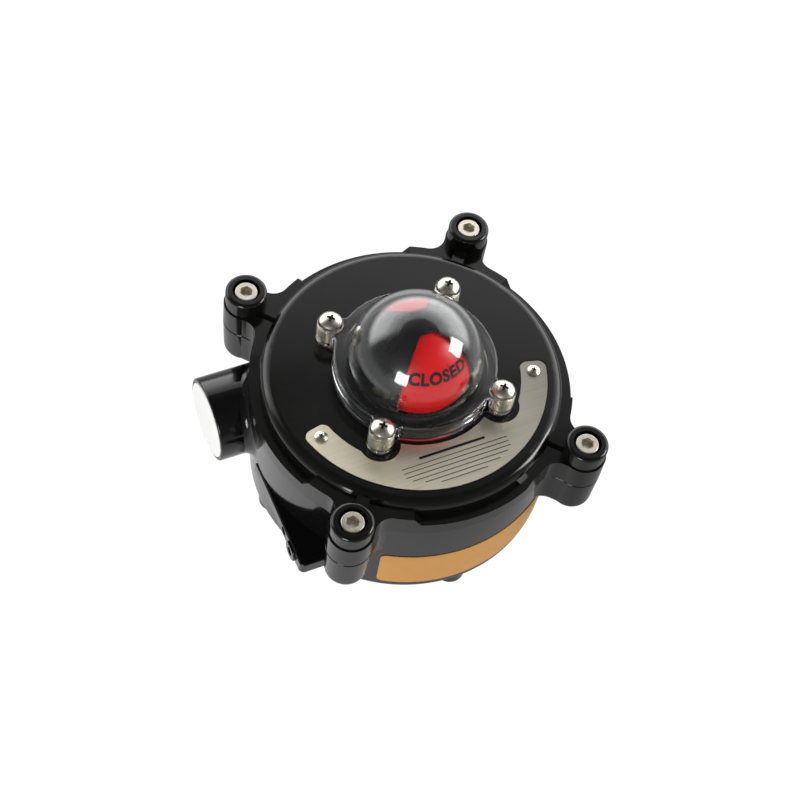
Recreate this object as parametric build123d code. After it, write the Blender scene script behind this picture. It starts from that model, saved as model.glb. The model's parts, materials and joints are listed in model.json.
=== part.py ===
"""Valve limit switch box: round cast housing, bolted cover, clear dome with a turning indicator.

Frame: millimetres, +Z up along the drive shaft. The origin is on the shaft axis, in the plane of
the four mounting feet. The cable entry points along -X.
"""
from build123d import *
import math
import os

os.makedirs("parts", exist_ok=True)

# ---- Clearances shared by every fit ----
FIT = 0.05              # radial clearance of a running or sliding fit
SCREW_FIT = 0.05        # radial clearance of a screw in its tapped hole
GAP = 0.3               # free gap between pieces that move past each other
SEAT = 0.02             # air left between stacked faces
HOLE_FIT = 0.2          # radial clearance of a screw in a plain hole
THROUGH = 1.0           # how far a cut runs past the faces it opens
EDGE = 0.6              # small rounded edge on turned and moulded pieces
NECK_SHARE = 0.95       # width of an ear's neck, as a share of its boss's diameter

# ---- Small screws: shank radius, head radius, head height ----
M3_RADIUS = 1.5
M3_HEAD_RADIUS = 2.8
M3_HEAD_HEIGHT = 2.2
M4_RADIUS = 2.0
M4_HEAD_RADIUS = 3.6
M4_HEAD_HEIGHT = 2.4
CROSS_ARM_SHARE = 0.8  # length of the cross recess, as a share of the head's radius
CROSS_WIDTH_SHARE = 0.24
CROSS_DEPTH_SHARE = 0.62
CROWN_SHARE = 0.6  # height of the head's round crown, as a share of the head's height

# ---- Housing ----
FOOT_HEIGHT = 3.5
FOOT_RADIUS = 7.0
FOOT_INSET = 8.9
FOOT_HOLE_RADIUS = 2.5
FOOT_HOLE_DEPTH = 9.0
BODY_HEIGHT = 54.0
BODY_TOP_RADIUS = 68.9
BODY_TAPER = 1.6
BODY_WALL = 7.9
BODY_EDGE = 3.0
FLOOR_THICKNESS = 8.0
HUB_BOSS_WALL = 6.0
BODY_BOTTOM_RADIUS = BODY_TOP_RADIUS - BODY_TAPER
CAVITY_RADIUS = BODY_TOP_RADIUS - BODY_WALL
FOOT_CIRCLE = BODY_TOP_RADIUS - FOOT_INSET
BODY_BOTTOM = FOOT_HEIGHT
FLOOR_TOP = BODY_BOTTOM + FLOOR_THICKNESS
JOINT = BODY_BOTTOM + BODY_HEIGHT

# ---- Cover bolts and their ears ----
BOLT_REACH = 11.06
BOLT_ANGLE = 48.295
BOLT_CIRCLE = BODY_TOP_RADIUS + BOLT_REACH
BOLT_RADIUS = 3.0
BOLT_HEAD_RADIUS = 5.0
BOLT_HEAD_HEIGHT = 6.0
BOLT_GRIP = 28.0
BOLT_SOCKET_RADIUS = 2.9
BOLT_SOCKET_DEPTH = 3.0
BOLT_HOLE_FIT = 0.3
BOLT_HOLE_SPARE = 2.0
EAR_BOSS_RADIUS = 9.6
EAR_FILLET = 7.0
EAR_DEPTH = 21.5
EAR_DRAFT = 2.0
EAR_FOOT_EDGE = 4.5
EAR_SETBACK = 0.4

# ---- Cover ----
COVER_LIP = 0.7
JOINT_EDGE = 0.7  # rounding of both castings' rims where they meet
COVER_RADIUS = BODY_TOP_RADIUS + COVER_LIP
COVER_EAR_HEIGHT = 12.5
COVER_LEDGE_HEIGHT = 8.1
COVER_DECK_HEIGHT = 16.5
DECK_SETBACK = 4.6
DECK_RADIUS = COVER_RADIUS - DECK_SETBACK
DECK_EDGE = 4.4
DECK_THICKNESS = 8.0
LEDGE_RAMP = 34.0
LEDGE_HALF_ANGLE_X = 25.5
LEDGE_HALF_ANGLE_Y = 19.8
RING_RADIUS = 9.0
RING_HEIGHT = 21.3
RING_EDGE = 1.5
RING_BORE_RADIUS = 5.9
HEAD_RECESS = 6.8
RIB_WIDTH = 5.5
RIB_RISE = 2.0
RIB_RUN_IN = 7.0
RIB_INNER_RADIUS = DECK_RADIUS - RIB_RUN_IN
SPIGOT_LENGTH = 12.0
SPIGOT_WALL = 6.9
SPIGOT_FIT = 0.1
SPIGOT_RADIUS = CAVITY_RADIUS - SPIGOT_FIT
SPIGOT_INNER_RADIUS = SPIGOT_RADIUS - SPIGOT_WALL
SEAL_SECTION = 1.5
SEAL_DROP = 6.0
SEAL_GROOVE_SHARE = 1.1 # half height of the seal's groove, as a share of the seal's section radius
EAR_TOP = JOINT + COVER_EAR_HEIGHT
LEDGE_TOP = JOINT + COVER_LEDGE_HEIGHT
DECK_TOP = JOINT + COVER_DECK_HEIGHT
CEILING = DECK_TOP - DECK_THICKNESS
RING_TOP = JOINT + RING_HEIGHT
HEAD_SEAT = RING_TOP - HEAD_RECESS

# ---- Cable entry and its transit plug ----
ENTRY_Y = 27.0
ENTRY_DROP = 18.9
ENTRY_RADIUS = 18.8
ENTRY_STANDOFF = 13.9
ENTRY_Z = JOINT - ENTRY_DROP
ENTRY_REACH = BODY_TOP_RADIUS + ENTRY_STANDOFF
ENTRY_FILLET = 4.0
ENTRY_EDGE = 0.8
ENTRY_BORE_RADIUS = 12.05
ENTRY_RIM = 1.5
ENTRY_RECESS_RADIUS = ENTRY_RADIUS - ENTRY_RIM
ENTRY_RECESS_DEPTH = 1.2
PLUG_RIM_HEIGHT = 1.6
PLUG_LENGTH = 14.0
PLUG_WALL = 2.0
PLUG_SKIN = 0.6
ENTRY_ROOT_X = math.sqrt(CAVITY_RADIUS ** 2 - (ENTRY_Y + ENTRY_RADIUS) ** 2)

# ---- Earth pad on the side of the housing ----
PAD_SETBACK = 0.3
PAD_FRONT_Y = 50.0
PAD_BACK_Y = 4.0
PAD_RISE = 20.3
PAD_THICKNESS = 6.4
PAD_ROOT_DEPTH = 17.0
PAD_FACE_X = BODY_TOP_RADIUS - PAD_SETBACK
PAD_ROOT_X = CAVITY_RADIUS - PAD_ROOT_DEPTH
PAD_BOTTOM = BODY_BOTTOM + PAD_RISE
PAD_CORNER = 2.5
PAD_EDGE = 0.8
EARTH_HOLE_RADIUS = 2.1
EARTH_HOLE_DEPTH = 9.0
EARTH_STOP_Y = 30.0
EARTH_SCREW_Y = 39.5
EARTH_BOSS_RADIUS = 4.6
EARTH_BOSS_RISE = 1.0
EARTH_BOSS_DROP = 0.5
EARTH_STOP_Z = PAD_BOTTOM + PAD_THICKNESS / 2
EARTH_SCREW_RISE = 2.53
EARTH_SCREW_Z = PAD_BOTTOM + EARTH_SCREW_RISE

# ---- Clear dome ----
DOME_RADIUS = 28.6
DOME_WALL = 1.8
DOME_RING_WIDTH = 6.4
DOME_RING_RADIUS = DOME_RADIUS + DOME_RING_WIDTH
LUG_REACH = 4.3
LUG_CIRCLE = DOME_RING_RADIUS + LUG_REACH
LUG_ANGLE = 45.6
LUG_RADIUS = 5.6
LUG_NECK = 9.0
LUG_CORNER = 2.5
LUG_EDGE = 0.8
GASKET_THICKNESS = 1.0
GASKET_LIP = 0.4
DOME_RING_HEIGHT = 9.5
DOME_RING_EDGE = 1.2
DOME_CENTRE_RISE = 11.5
LUG_HEIGHT = 10.5
DOME_BASE = DECK_TOP + GASKET_THICKNESS
DOME_CENTRE = DECK_TOP + DOME_CENTRE_RISE
LUG_TOP = DOME_BASE + LUG_HEIGHT
DOME_SCREW_RADIUS = 2.5
DOME_SCREW_LENGTH = 20.0
DOME_SCREW_HEAD_RADIUS = 4.7
DOME_SCREW_HEAD_HEIGHT = 3.6
DOME_SCREW_PAD_RADIUS = 6.0
DOME_SCREW_PAD_DROP = 5.0

# ---- Indicator: fixed mask with two windows, and the turning flags under it ----
MASK_GAP = 0.7
MASK_WALL = 1.0
MASK_RADIUS = DOME_RADIUS - DOME_WALL - MASK_GAP
MASK_FLANGE_SETBACK = 4.0
MASK_FLANGE_RADIUS = DOME_RING_RADIUS - MASK_FLANGE_SETBACK
MASK_FLANGE_THICKNESS = 1.2
WINDOW_BOTTOM_RISE = 5.6
WINDOW_INNER_Y = 5.6
WINDOW_CORNER_X = 3.6
WINDOW_PEAK_X = 2.9
WINDOW_STEP_X = 6.6
WINDOW_STEP_Y = 8.5
WINDOW_SIDE_ANGLE = 42.5
FLAG_GAP = 0.9
FLAG_WALL = 1.2
FLAG_RADIUS = MASK_RADIUS - MASK_WALL - FLAG_GAP
FLAG_GAP_ANGLE = 0.4
CLOSED_HALF_ANGLE = 46.0
FLAG_POLE_RADIUS = 3.0
CARRIER_RISE = 1.0
CARRIER_DISC = 1.6
CARRIER_HUB_RADIUS = 7.5
CARRIER_HUB_LENGTH = 18.0
CARRIER_RIB = 1.4
SCREW_WELL_MARGIN = 1.5
SHAFT_SETBACK = 1.5
INDICATOR_SCREW_RADIUS = 2.0
INDICATOR_SCREW_LENGTH = 10.0
INDICATOR_SCREW_HEAD_RADIUS = 4.0
INDICATOR_SCREW_HEAD_HEIGHT = 2.6

# ---- Drive shaft ----
SHAFT_RADIUS = 6.0
STUB_STEP = 1.0
STUB_RADIUS = SHAFT_RADIUS - STUB_STEP
STUB_LENGTH = 8.0
TANG_THICKNESS = 4.0
TANG_LENGTH = 5.0
BUSH_WALL = 2.0
BUSH_FLANGE_WIDTH = 2.5
BUSH_FLANGE_THICKNESS = 1.2
BUSH_SETBACK = 4.5
HOUSING_BOSS_RISE = 7.5
COLLAR_STEP = 3.0
SPLINE_STEP = 1.1
SPLINE_TOOTH = 0.7
SPLINE_TEETH = 24
COVER_BOSS_DROP = 10.0
TOP_BOSS_WALL = 6.0
TOP_BOSS_RISE = 4.0
TOP_SHAFT_STEP = 2.0
BUSH_RADIUS = SHAFT_RADIUS + BUSH_WALL
BUSH_FLANGE_RADIUS = BUSH_RADIUS + BUSH_FLANGE_WIDTH
HUB_BOSS_RADIUS = BUSH_RADIUS + HUB_BOSS_WALL
COLLAR_RADIUS = SHAFT_RADIUS + COLLAR_STEP
SPLINE_ROOT_RADIUS = SHAFT_RADIUS + SPLINE_STEP
SPLINE_TIP_RADIUS = SPLINE_ROOT_RADIUS + SPLINE_TOOTH
TOP_BOSS_RADIUS = SHAFT_RADIUS + TOP_BOSS_WALL
TOP_SHAFT_RADIUS = SHAFT_RADIUS - TOP_SHAFT_STEP
LOWER_BUSH_START = FLOOR_TOP - BUSH_SETBACK
HOUSING_BOSS_TOP = FLOOR_TOP + HOUSING_BOSS_RISE
COVER_BOSS_BOTTOM = CEILING - COVER_BOSS_DROP
SHAFT_SEAL_SECTION = 0.9
SHAFT_SEAL_GROOVE_WIDTH = 2.2
LOWER_SEAL_DROP = 3.8
UPPER_BUSH_SETBACK = 2.0
SHAFT_STEP = 0.5
TAPPING_SPARE = 1.0

# ---- Microswitches and levers ----
SWITCH_FACE_X = 22.0
SWITCH_DEPTH = 15.9
SWITCH_LENGTH = 27.8
SWITCH_THICKNESS = 10.3
SWITCH_START_Y = -10.3
SWITCH_HOLE_RADIUS = 1.55
SWITCH_HOLE_SPACING = 22.2
SWITCH_HOLE_SETBACK = 12.2
SWITCH_PITCH = 13.0
BRACKET_RISE = 10.5
BRACKET_THICKNESS = 2.0
BRACKET_TOP = FLOOR_TOP + BRACKET_RISE
BRACKET_LIP = 1.0
BRACKET_SHELF = 9.1
BRACKET_OVERHANG_FRONT = 4.7
BRACKET_OVERHANG_BACK = 5.5
BRACKET_POST_INSET = 5.0
BRACKET_CORNER = 3.0
BRACKET_SCREW_LENGTH = 8.0
SPACER_RADIUS = 3.0
SWITCH_CORNER = 1.0
LEVER_STANDOFF = 1.6
LEVER_PIVOT_SETBACK = 1.5
LEVER_PIVOT_X = SWITCH_FACE_X - LEVER_STANDOFF
LEVER_PIVOT_Y = SWITCH_START_Y + SWITCH_LENGTH - LEVER_PIVOT_SETBACK
LEVER_BARREL_RADIUS = 0.8
LEVER_STRIP = 0.6
LEVER_WIDTH = 5.4
LEVER_TIP_RADIUS = 2.2
LEVER_SWING = 7.0
EAR_THICKNESS = 1.5
EAR_MARGIN = 1.0
PLUNGER_RADIUS = 1.5
PLUNGER_Y = 7.0
PLUNGER_DEPTH = 5.0
BLADE_LENGTH = 6.1
BLADE_WIDTH = 4.8
BLADE_THICKNESS = 0.8
BLADE_FIRST_Y = -6.0
BLADE_PITCH = 9.6
BLADE_COUNT = 3

# ---- Cams ----
CAM_THICKNESS = 6.0
CAM_PLATEAU_ANGLE = 25.0
CAM_BLEND_ANGLE = 35.0
CAM_STEP_ANGLE = 5
CAM_SPRING_WIRE = 0.5
CAM_SPRING_TURNS = 3
CAM_SPRING_FIT = 0.8
TRAVEL = 90.0
WASHER_OVERLAP = 3.2
WASHER_RADIUS = SPLINE_TIP_RADIUS + WASHER_OVERLAP
WASHER_THICKNESS = 1.0
CIRCLIP_REACH = 2.0
CIRCLIP_GROOVE_DEPTH = 0.6
CIRCLIP_RADIUS = SHAFT_RADIUS + CIRCLIP_REACH
CIRCLIP_GROOVE_RADIUS = SHAFT_RADIUS - CIRCLIP_GROOVE_DEPTH
CIRCLIP_THICKNESS = 1.0
CIRCLIP_OPENING = 3.0

# ---- Terminal block ----
BLOCK_LENGTH = 60.0
BLOCK_WIDTH = 14.0
BLOCK_HEIGHT = 14.0
BLOCK_SETBACK = 18.0
BLOCK_Y = BLOCK_SETBACK - CAVITY_RADIUS
BLOCK_WAYS = 8
BLOCK_WAY_PITCH = 6.0
BLOCK_POST_RADIUS = 4.0
BLOCK_POST_HEIGHT = 3.5
BLOCK_POST_X = 27.0
BLOCK_END_LENGTH = 6.0
BLOCK_END_HEIGHT = 5.6
BLOCK_SCREW_LENGTH = 9.0
TERMINAL_ROW_OFFSET = 3.4
TERMINAL_SCREW_RADIUS = 1.9
TERMINAL_POCKET_DEPTH = 3.5
TERMINAL_SCREW_SETBACK = 1.0
TERMINAL_SLOT_WIDTH = 0.6
TERMINAL_SLOT_DEPTH = 0.8
WIRE_MOUTH = 3.0
WIRE_MOUTH_RISE = 3.5
LEAD_RADIUS = 0.9
LEAD_BEND = 4.0
LEAD_SPREAD = 2.2
LEAD_DROP_X = 2.6
LEAD_DROP_Y = -21.0

# ---- Earth screw inside the box ----
EARTH_POST = (-40.0, -14.0)
EARTH_POST_HEIGHT = 6.5
EARTH_SCREW_LENGTH = 7.0

# ---- Nameplate and side label ----
PLATE_THICKNESS = 0.8
PLATE_DECK_MARGIN = 7.2
PLATE_DOME_MARGIN = 1.5
PLATE_OUTER_RADIUS = DECK_RADIUS - PLATE_DECK_MARGIN
PLATE_INNER_RADIUS = LUG_CIRCLE + LUG_RADIUS + PLATE_DOME_MARGIN
PLATE_START_ANGLE = -166.5
PLATE_END_ANGLE = -14.0
PLATE_CORNER = 3.4
PLATE_RECESS = 0.5
PLATE_RECESS_MARGIN = 0.5
PLATE_RING_GAP = 1.6
PLATE_LUG_GAP = 3.2
PLATE_JOIN = 4.0
PLATE_JOIN_ANGLE = 3.0
PLATE_SCREW_RADIUS = 1.5
PLATE_SCREW_HEAD_RADIUS = 2.7
PLATE_SCREW_HEAD_HEIGHT = 1.6
PLATE_SCREW_LENGTH = 5.0
PLATE_SCREW_INSET_ANGLE = 5.6
LABEL_THICKNESS = 0.3
LABEL_RISE = 5.9
LABEL_HEIGHT = 25.0
LABEL_BOTTOM = BODY_BOTTOM + LABEL_RISE
LABEL_TOP = LABEL_BOTTOM + LABEL_HEIGHT
LABEL_START_ANGLE = -121.5
LABEL_END_ANGLE = -8.0
LABEL_CORNER = 3.0


def polar(radius, angle):
    """Point at a radius and an angle in degrees."""
    return radius * math.cos(math.radians(angle)), radius * math.sin(math.radians(angle))


BOLT_POINTS = [polar(BOLT_CIRCLE, angle) for angle in
               (BOLT_ANGLE, 180 - BOLT_ANGLE, BOLT_ANGLE - 180, -BOLT_ANGLE)]
FOOT_POINTS = [polar(FOOT_CIRCLE, 90 * step) for step in range(4)]
LUG_POINTS = [polar(LUG_CIRCLE, angle) for angle in
              (LUG_ANGLE, 180 - LUG_ANGLE, LUG_ANGLE - 180, -LUG_ANGLE)]
PLATE_SCREW_CIRCLE = (PLATE_INNER_RADIUS + PLATE_OUTER_RADIUS) / 2
PLATE_SCREWS = [polar(PLATE_SCREW_CIRCLE, PLATE_START_ANGLE + PLATE_SCREW_INSET_ANGLE),
                polar(PLATE_SCREW_CIRCLE, PLATE_END_ANGLE - PLATE_SCREW_INSET_ANGLE)]

# ---- Heights along the drive shaft ----
BUSH_TOP = HOUSING_BOSS_TOP + BUSH_FLANGE_THICKNESS
COLLAR_BOTTOM = BUSH_TOP + GAP
LOWER_SWITCH_Z = BRACKET_TOP + SEAT + SWITCH_THICKNESS / 2
UPPER_SWITCH_Z = LOWER_SWITCH_Z + SWITCH_PITCH
COLLAR_TOP = LOWER_SWITCH_Z - CAM_THICKNESS / 2
SPLINE_TOP = UPPER_SWITCH_Z + CAM_THICKNESS / 2 + GAP
WASHER_Z = SPLINE_TOP + SEAT
CIRCLIP_Z = WASHER_Z + WASHER_THICKNESS + SEAT
UPPER_BUSH_END = DECK_TOP - UPPER_BUSH_SETBACK
LOWER_SEAL_Z = LOWER_BUSH_START - LOWER_SEAL_DROP
UPPER_SEAL_Z = DECK_TOP + TOP_BOSS_RISE / 2
CARRIER_BASE = DECK_TOP + TOP_BOSS_RISE + CARRIER_RISE
CARRIER_TOP = CARRIER_BASE + CARRIER_DISC
CARRIER_HUB_TOP = CARRIER_BASE + CARRIER_HUB_LENGTH
SHAFT_TOP = CARRIER_HUB_TOP - SHAFT_SETBACK

# ---- Places inside the box ----
SWITCH_BACK_X = SWITCH_FACE_X + SWITCH_DEPTH
SWITCH_END_Y = SWITCH_START_Y + SWITCH_LENGTH
SWITCH_MIDDLE_Y = SWITCH_START_Y + SWITCH_LENGTH / 2
SWITCH_HOLES = [(SWITCH_FACE_X + SWITCH_HOLE_SETBACK, SWITCH_MIDDLE_Y + side * SWITCH_HOLE_SPACING / 2)
                for side in (-1, 1)]
BLADE_YS = [BLADE_FIRST_Y + BLADE_PITCH * index for index in range(BLADE_COUNT)]
BRACKET_BACK_X = SWITCH_BACK_X + BRACKET_SHELF
BRACKET_FRONT_Y = SWITCH_START_Y - BRACKET_OVERHANG_FRONT
BRACKET_END_Y = SWITCH_END_Y + BRACKET_OVERHANG_BACK
BRACKET_POSTS = [(BRACKET_BACK_X - BRACKET_POST_INSET, BRACKET_FRONT_Y + BRACKET_POST_INSET),
                 (BRACKET_BACK_X - BRACKET_POST_INSET, BRACKET_END_Y - BRACKET_POST_INSET)]
PLUNGER_TRAVEL = (LEVER_PIVOT_Y - PLUNGER_Y) * math.sin(math.radians(LEVER_SWING))
BLOCK_POSTS = [(-BLOCK_POST_X, BLOCK_Y), (BLOCK_POST_X, BLOCK_Y)]
BLOCK_BOTTOM = FLOOR_TOP + BLOCK_POST_HEIGHT + SEAT
BLOCK_TOP = BLOCK_BOTTOM + BLOCK_HEIGHT
WAY_XS = [(way - (BLOCK_WAYS - 1) / 2) * BLOCK_WAY_PITCH for way in range(BLOCK_WAYS)]
TERMINAL_ROWS = (BLOCK_Y - TERMINAL_ROW_OFFSET, BLOCK_Y + TERMINAL_ROW_OFFSET)


def cylinder(radius, bottom, top, x=0.0, y=0.0):
    """Upright cylinder between two heights."""
    align = (Align.CENTER, Align.CENTER, Align.MIN)
    return Pos(x, y, bottom) * Cylinder(radius, top - bottom, align=align)


def tube(outer, inner, bottom, top, x=0.0, y=0.0):
    """Upright tube between two heights."""
    return cylinder(outer, bottom, top, x, y) - cylinder(inner, bottom - THROUGH, top + THROUGH, x, y)


def block(x0, x1, y0, y1, z0, z1):
    """Box between two corners."""
    align = (Align.MIN, Align.MIN, Align.MIN)
    return Pos(x0, y0, z0) * Box(x1 - x0, y1 - y0, z1 - z0, align=align)


def x_cylinder(radius, x0, x1, y, z):
    """Cylinder along X between two places."""
    align = (Align.CENTER, Align.CENTER, Align.MIN)
    return Pos(x0, y, z) * Rot(0, 90, 0) * Cylinder(radius, x1 - x0, align=align)


def torus(ring_radius, section, z):
    """O-ring about the shaft's axis."""
    return Pos(0, 0, z) * Torus(ring_radius, section)


def spun(points, degrees=360.0, start=0.0):
    """Solid turned about Z from a closed outline of (radius, height) points."""
    outline = Plane.XZ * make_face(Polyline(*points, close=True))
    return Rot(0, 0, start) * revolve(outline, Axis.Z, degrees)


def eared_disc(disc_radius, boss_radius, points, neck_length, corner):
    """Disc with a boss at each point, each joined to the disc by a neck with hollow corners."""
    plan = Sketch() + Circle(disc_radius)
    for x, y in points:
        angle = math.degrees(math.atan2(y, x))
        middle = polar(math.hypot(x, y) - neck_length / 2, angle)
        neck = Rectangle(neck_length, 2 * NECK_SHARE * boss_radius)
        plan += Pos(*middle) * Rot(0, 0, angle) * neck
        plan += Pos(x, y) * Circle(boss_radius)
    corners = [v for v in plan.vertices() if abs(math.hypot(v.X, v.Y) - disc_radius) < FIT]
    return fillet(corners, corner)


def ear_outline(disc_radius):
    """Plan of the housing and the cover: a disc with four bolt ears."""
    return eared_disc(disc_radius, EAR_BOSS_RADIUS, BOLT_POINTS, BOLT_CIRCLE / 2, EAR_FILLET)


def lug_outline(inner_radius):
    """Plan of the dome's flange: a ring with four screw lugs."""
    plan = eared_disc(DOME_RING_RADIUS, LUG_RADIUS, LUG_POINTS, LUG_NECK, LUG_CORNER)
    return plan - Circle(inner_radius)


def sector(inner, outer, start, end):
    """Annular sector as a face."""
    return make_face(
        CenterArc((0, 0), outer, start, end - start)
        + Line(polar(outer, end), polar(inner, end))
        + CenterArc((0, 0), inner, start, end - start)
        + Line(polar(inner, start), polar(outer, start))
    )


def pan_head(radius, height, z, x=0.0, y=0.0):
    """Pan screw head with a cross recess, seated at height z."""
    crown = height * CROWN_SHARE
    crown_radius = (radius ** 2 + crown ** 2) / (2 * crown)
    head = cylinder(radius, z, z + height, x, y)
    head &= Pos(x, y, z + height - crown_radius) * Sphere(crown_radius)
    arm = radius * CROSS_ARM_SHARE
    width = radius * CROSS_WIDTH_SHARE
    for angle in (45, 135):
        cut = Rot(0, 0, angle) * Box(arm, width, height, align=(Align.CENTER, Align.CENTER, Align.MIN))
        head -= Pos(x, y, z + height * (1 - CROSS_DEPTH_SHARE)) * cut
    return head


def pan_screw(radius, length, head_radius, head_height, seat, x=0.0, y=0.0):
    """Pan screw whose head sits at the seat height."""
    head = pan_head(head_radius, head_height, seat, x, y)
    return head + cylinder(radius, seat - length, seat + head_height / 4, x, y)


def group(solids):
    """Separate solids kept together in one node."""
    return Compound(children=[piece for solid in solids for piece in solid.solids()])


# ---- Housing ----
def wall_radius(z):
    """Outside radius of the drafted housing wall."""
    share = (z - BODY_BOTTOM) / BODY_HEIGHT
    return BODY_BOTTOM_RADIUS + (BODY_TOP_RADIUS - BODY_BOTTOM_RADIUS) * share


def housing_shell():
    """Drafted wall with the cable entry blended into it, cut off at the joint, then the ears."""
    high = JOINT + ENTRY_RADIUS
    wall = [(0, BODY_BOTTOM), (BODY_BOTTOM_RADIUS, BODY_BOTTOM), (wall_radius(high), high), (0, high)]
    shell = spun(wall)
    shell = fillet(shell.edges().group_by(Axis.Z)[0], BODY_EDGE)
    entry = x_cylinder(ENTRY_RADIUS, -ENTRY_REACH, -ENTRY_ROOT_X, ENTRY_Y, ENTRY_Z)
    entry = fillet(entry.edges().group_by(Axis.X)[0], ENTRY_EDGE)
    shell += entry
    seam = [e for e in shell.edges()
            if e.length > 4 * ENTRY_RADIUS and e.center().X > 2 * ENTRY_EDGE - ENTRY_REACH
            and abs(e.center().Y - ENTRY_Y) < ENTRY_RADIUS]
    shell = fillet(seam, ENTRY_FILLET)
    shell -= cylinder(ENTRY_REACH * 2, JOINT, high + THROUGH)
    ears = extrude(ear_outline(BODY_TOP_RADIUS - EAR_SETBACK), -EAR_DEPTH, taper=EAR_DRAFT)
    ears = fillet(ears.edges().group_by(Axis.Z)[0], EAR_FOOT_EDGE)
    ears = fillet(ears.edges().group_by(Axis.Z)[-1], JOINT_EDGE)
    return shell + Pos(0, 0, JOINT) * ears


def earth_pad():
    """Shelf on the wall whose outer face takes the earth screw and the stop beside it."""
    top = PAD_BOTTOM + PAD_THICKNESS
    pad = block(-PAD_FACE_X, -PAD_ROOT_X, -PAD_FRONT_Y, PAD_BACK_Y, PAD_BOTTOM, top)
    corner = pad.edges().filter_by(Axis.Z).sort_by(Axis.X)[0:2].sort_by(Axis.Y)[0]
    pad = fillet(corner, PAD_CORNER)
    pad = fillet(pad.faces().sort_by(Axis.Z)[-1].edges(), PAD_EDGE)
    boss_face = PAD_FACE_X + EARTH_BOSS_RISE
    boss = x_cylinder(EARTH_BOSS_RADIUS, -boss_face, -PAD_ROOT_X, -EARTH_SCREW_Y, EARTH_SCREW_Z)
    boss = fillet(boss.edges().group_by(Axis.X)[0], EDGE)
    boss &= block(-boss_face - THROUGH, 0, -PAD_FRONT_Y, 0, BODY_BOTTOM, top - EARTH_BOSS_DROP)
    return pad + boss


def body_housing():
    body = housing_shell() + earth_pad()
    for x, y in FOOT_POINTS:
        body += cylinder(FOOT_RADIUS, 0, BODY_BOTTOM + BODY_EDGE, x, y)
    body -= cylinder(CAVITY_RADIUS, FLOOR_TOP, JOINT + THROUGH)
    body += cylinder(HUB_BOSS_RADIUS, 0, HOUSING_BOSS_TOP)
    post_tops = [(point, BRACKET_TOP - BRACKET_THICKNESS, M4_RADIUS, FLOOR_TOP) for point in BRACKET_POSTS]
    post_tops += [(point, FLOOR_TOP + BLOCK_POST_HEIGHT, M3_RADIUS, FLOOR_TOP - 2 * M3_RADIUS)
                  for point in BLOCK_POSTS]
    post_tops += [(EARTH_POST, FLOOR_TOP + EARTH_POST_HEIGHT, M4_RADIUS, FLOOR_TOP - M4_RADIUS)]
    for (x, y), top, screw, hole_bottom in post_tops:
        body += cylinder(BLOCK_POST_RADIUS, FLOOR_TOP - THROUGH, top, x, y)
        body -= cylinder(screw + SCREW_FIT, hole_bottom, top + THROUGH, x, y)
    body -= cylinder(SHAFT_RADIUS + FIT, -THROUGH, LOWER_BUSH_START + THROUGH)
    body -= cylinder(BUSH_RADIUS, LOWER_BUSH_START, HOUSING_BOSS_TOP + THROUGH)
    for x, y in FOOT_POINTS:
        body -= cylinder(FOOT_HOLE_RADIUS, -THROUGH, FOOT_HOLE_DEPTH, x, y)
    for x, y in BOLT_POINTS:
        hole_bottom = HEAD_SEAT - BOLT_GRIP - BOLT_HOLE_SPARE
        body -= cylinder(BOLT_RADIUS + SCREW_FIT, hole_bottom, JOINT + THROUGH, x, y)
    outside = -ENTRY_REACH - THROUGH
    body -= x_cylinder(ENTRY_BORE_RADIUS, outside, -ENTRY_ROOT_X, ENTRY_Y, ENTRY_Z)
    body -= x_cylinder(ENTRY_RECESS_RADIUS, outside, -ENTRY_REACH + ENTRY_RECESS_DEPTH, ENTRY_Y, ENTRY_Z)
    outside = -PAD_FACE_X - EARTH_BOSS_RISE - THROUGH
    for y, z in ((-EARTH_STOP_Y, EARTH_STOP_Z), (-EARTH_SCREW_Y, EARTH_SCREW_Z)):
        body -= x_cylinder(EARTH_HOLE_RADIUS, outside, -PAD_FACE_X + EARTH_HOLE_DEPTH, y, z)
    return body


# ---- Cover ----
def raised_ears(plan):
    """The four ear sectors that stand above the lowered ledges, with a ramp at each end."""
    bottom = LEDGE_TOP - THROUGH
    rise = EAR_TOP - bottom
    slab = Pos(0, 0, bottom) * extrude(plan, rise)
    ears = Part()
    for quarter in range(4):
        odd = quarter % 2
        start = 90 * quarter + (LEDGE_HALF_ANGLE_Y if odd else LEDGE_HALF_ANGLE_X)
        end = 90 * (quarter + 1) - (LEDGE_HALF_ANGLE_X if odd else LEDGE_HALF_ANGLE_Y)
        near, far = RIB_INNER_RADIUS, BOLT_CIRCLE + 4 * EAR_BOSS_RADIUS
        corners = [polar(near, start), polar(far, start), polar(far, end), polar(near, end)]
        wedge = extrude(make_face(Polyline(*corners, close=True)), rise, taper=LEDGE_RAMP)
        ears += slab & (Pos(0, 0, bottom) * wedge)
    return ears


def plate_outline(margin=0.0):
    """Arc-shaped plate that clears the dome's ring and lugs."""
    grow = math.degrees(margin / PLATE_INNER_RADIUS)
    arms = sector(PLATE_INNER_RADIUS - margin, PLATE_OUTER_RADIUS + margin,
                  PLATE_START_ANGLE - grow, PLATE_END_ANGLE + grow)
    arms = fillet(arms.vertices(), PLATE_CORNER)
    middle = sector(DOME_RING_RADIUS + PLATE_RING_GAP - margin, PLATE_INNER_RADIUS + PLATE_JOIN,
                    LUG_ANGLE - 180 + PLATE_JOIN_ANGLE, -LUG_ANGLE - PLATE_JOIN_ANGLE)
    plan = arms + middle
    for x, y in LUG_POINTS:
        plan -= Pos(x, y) * Circle(LUG_RADIUS + PLATE_LUG_GAP - margin)
    return plan


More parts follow.
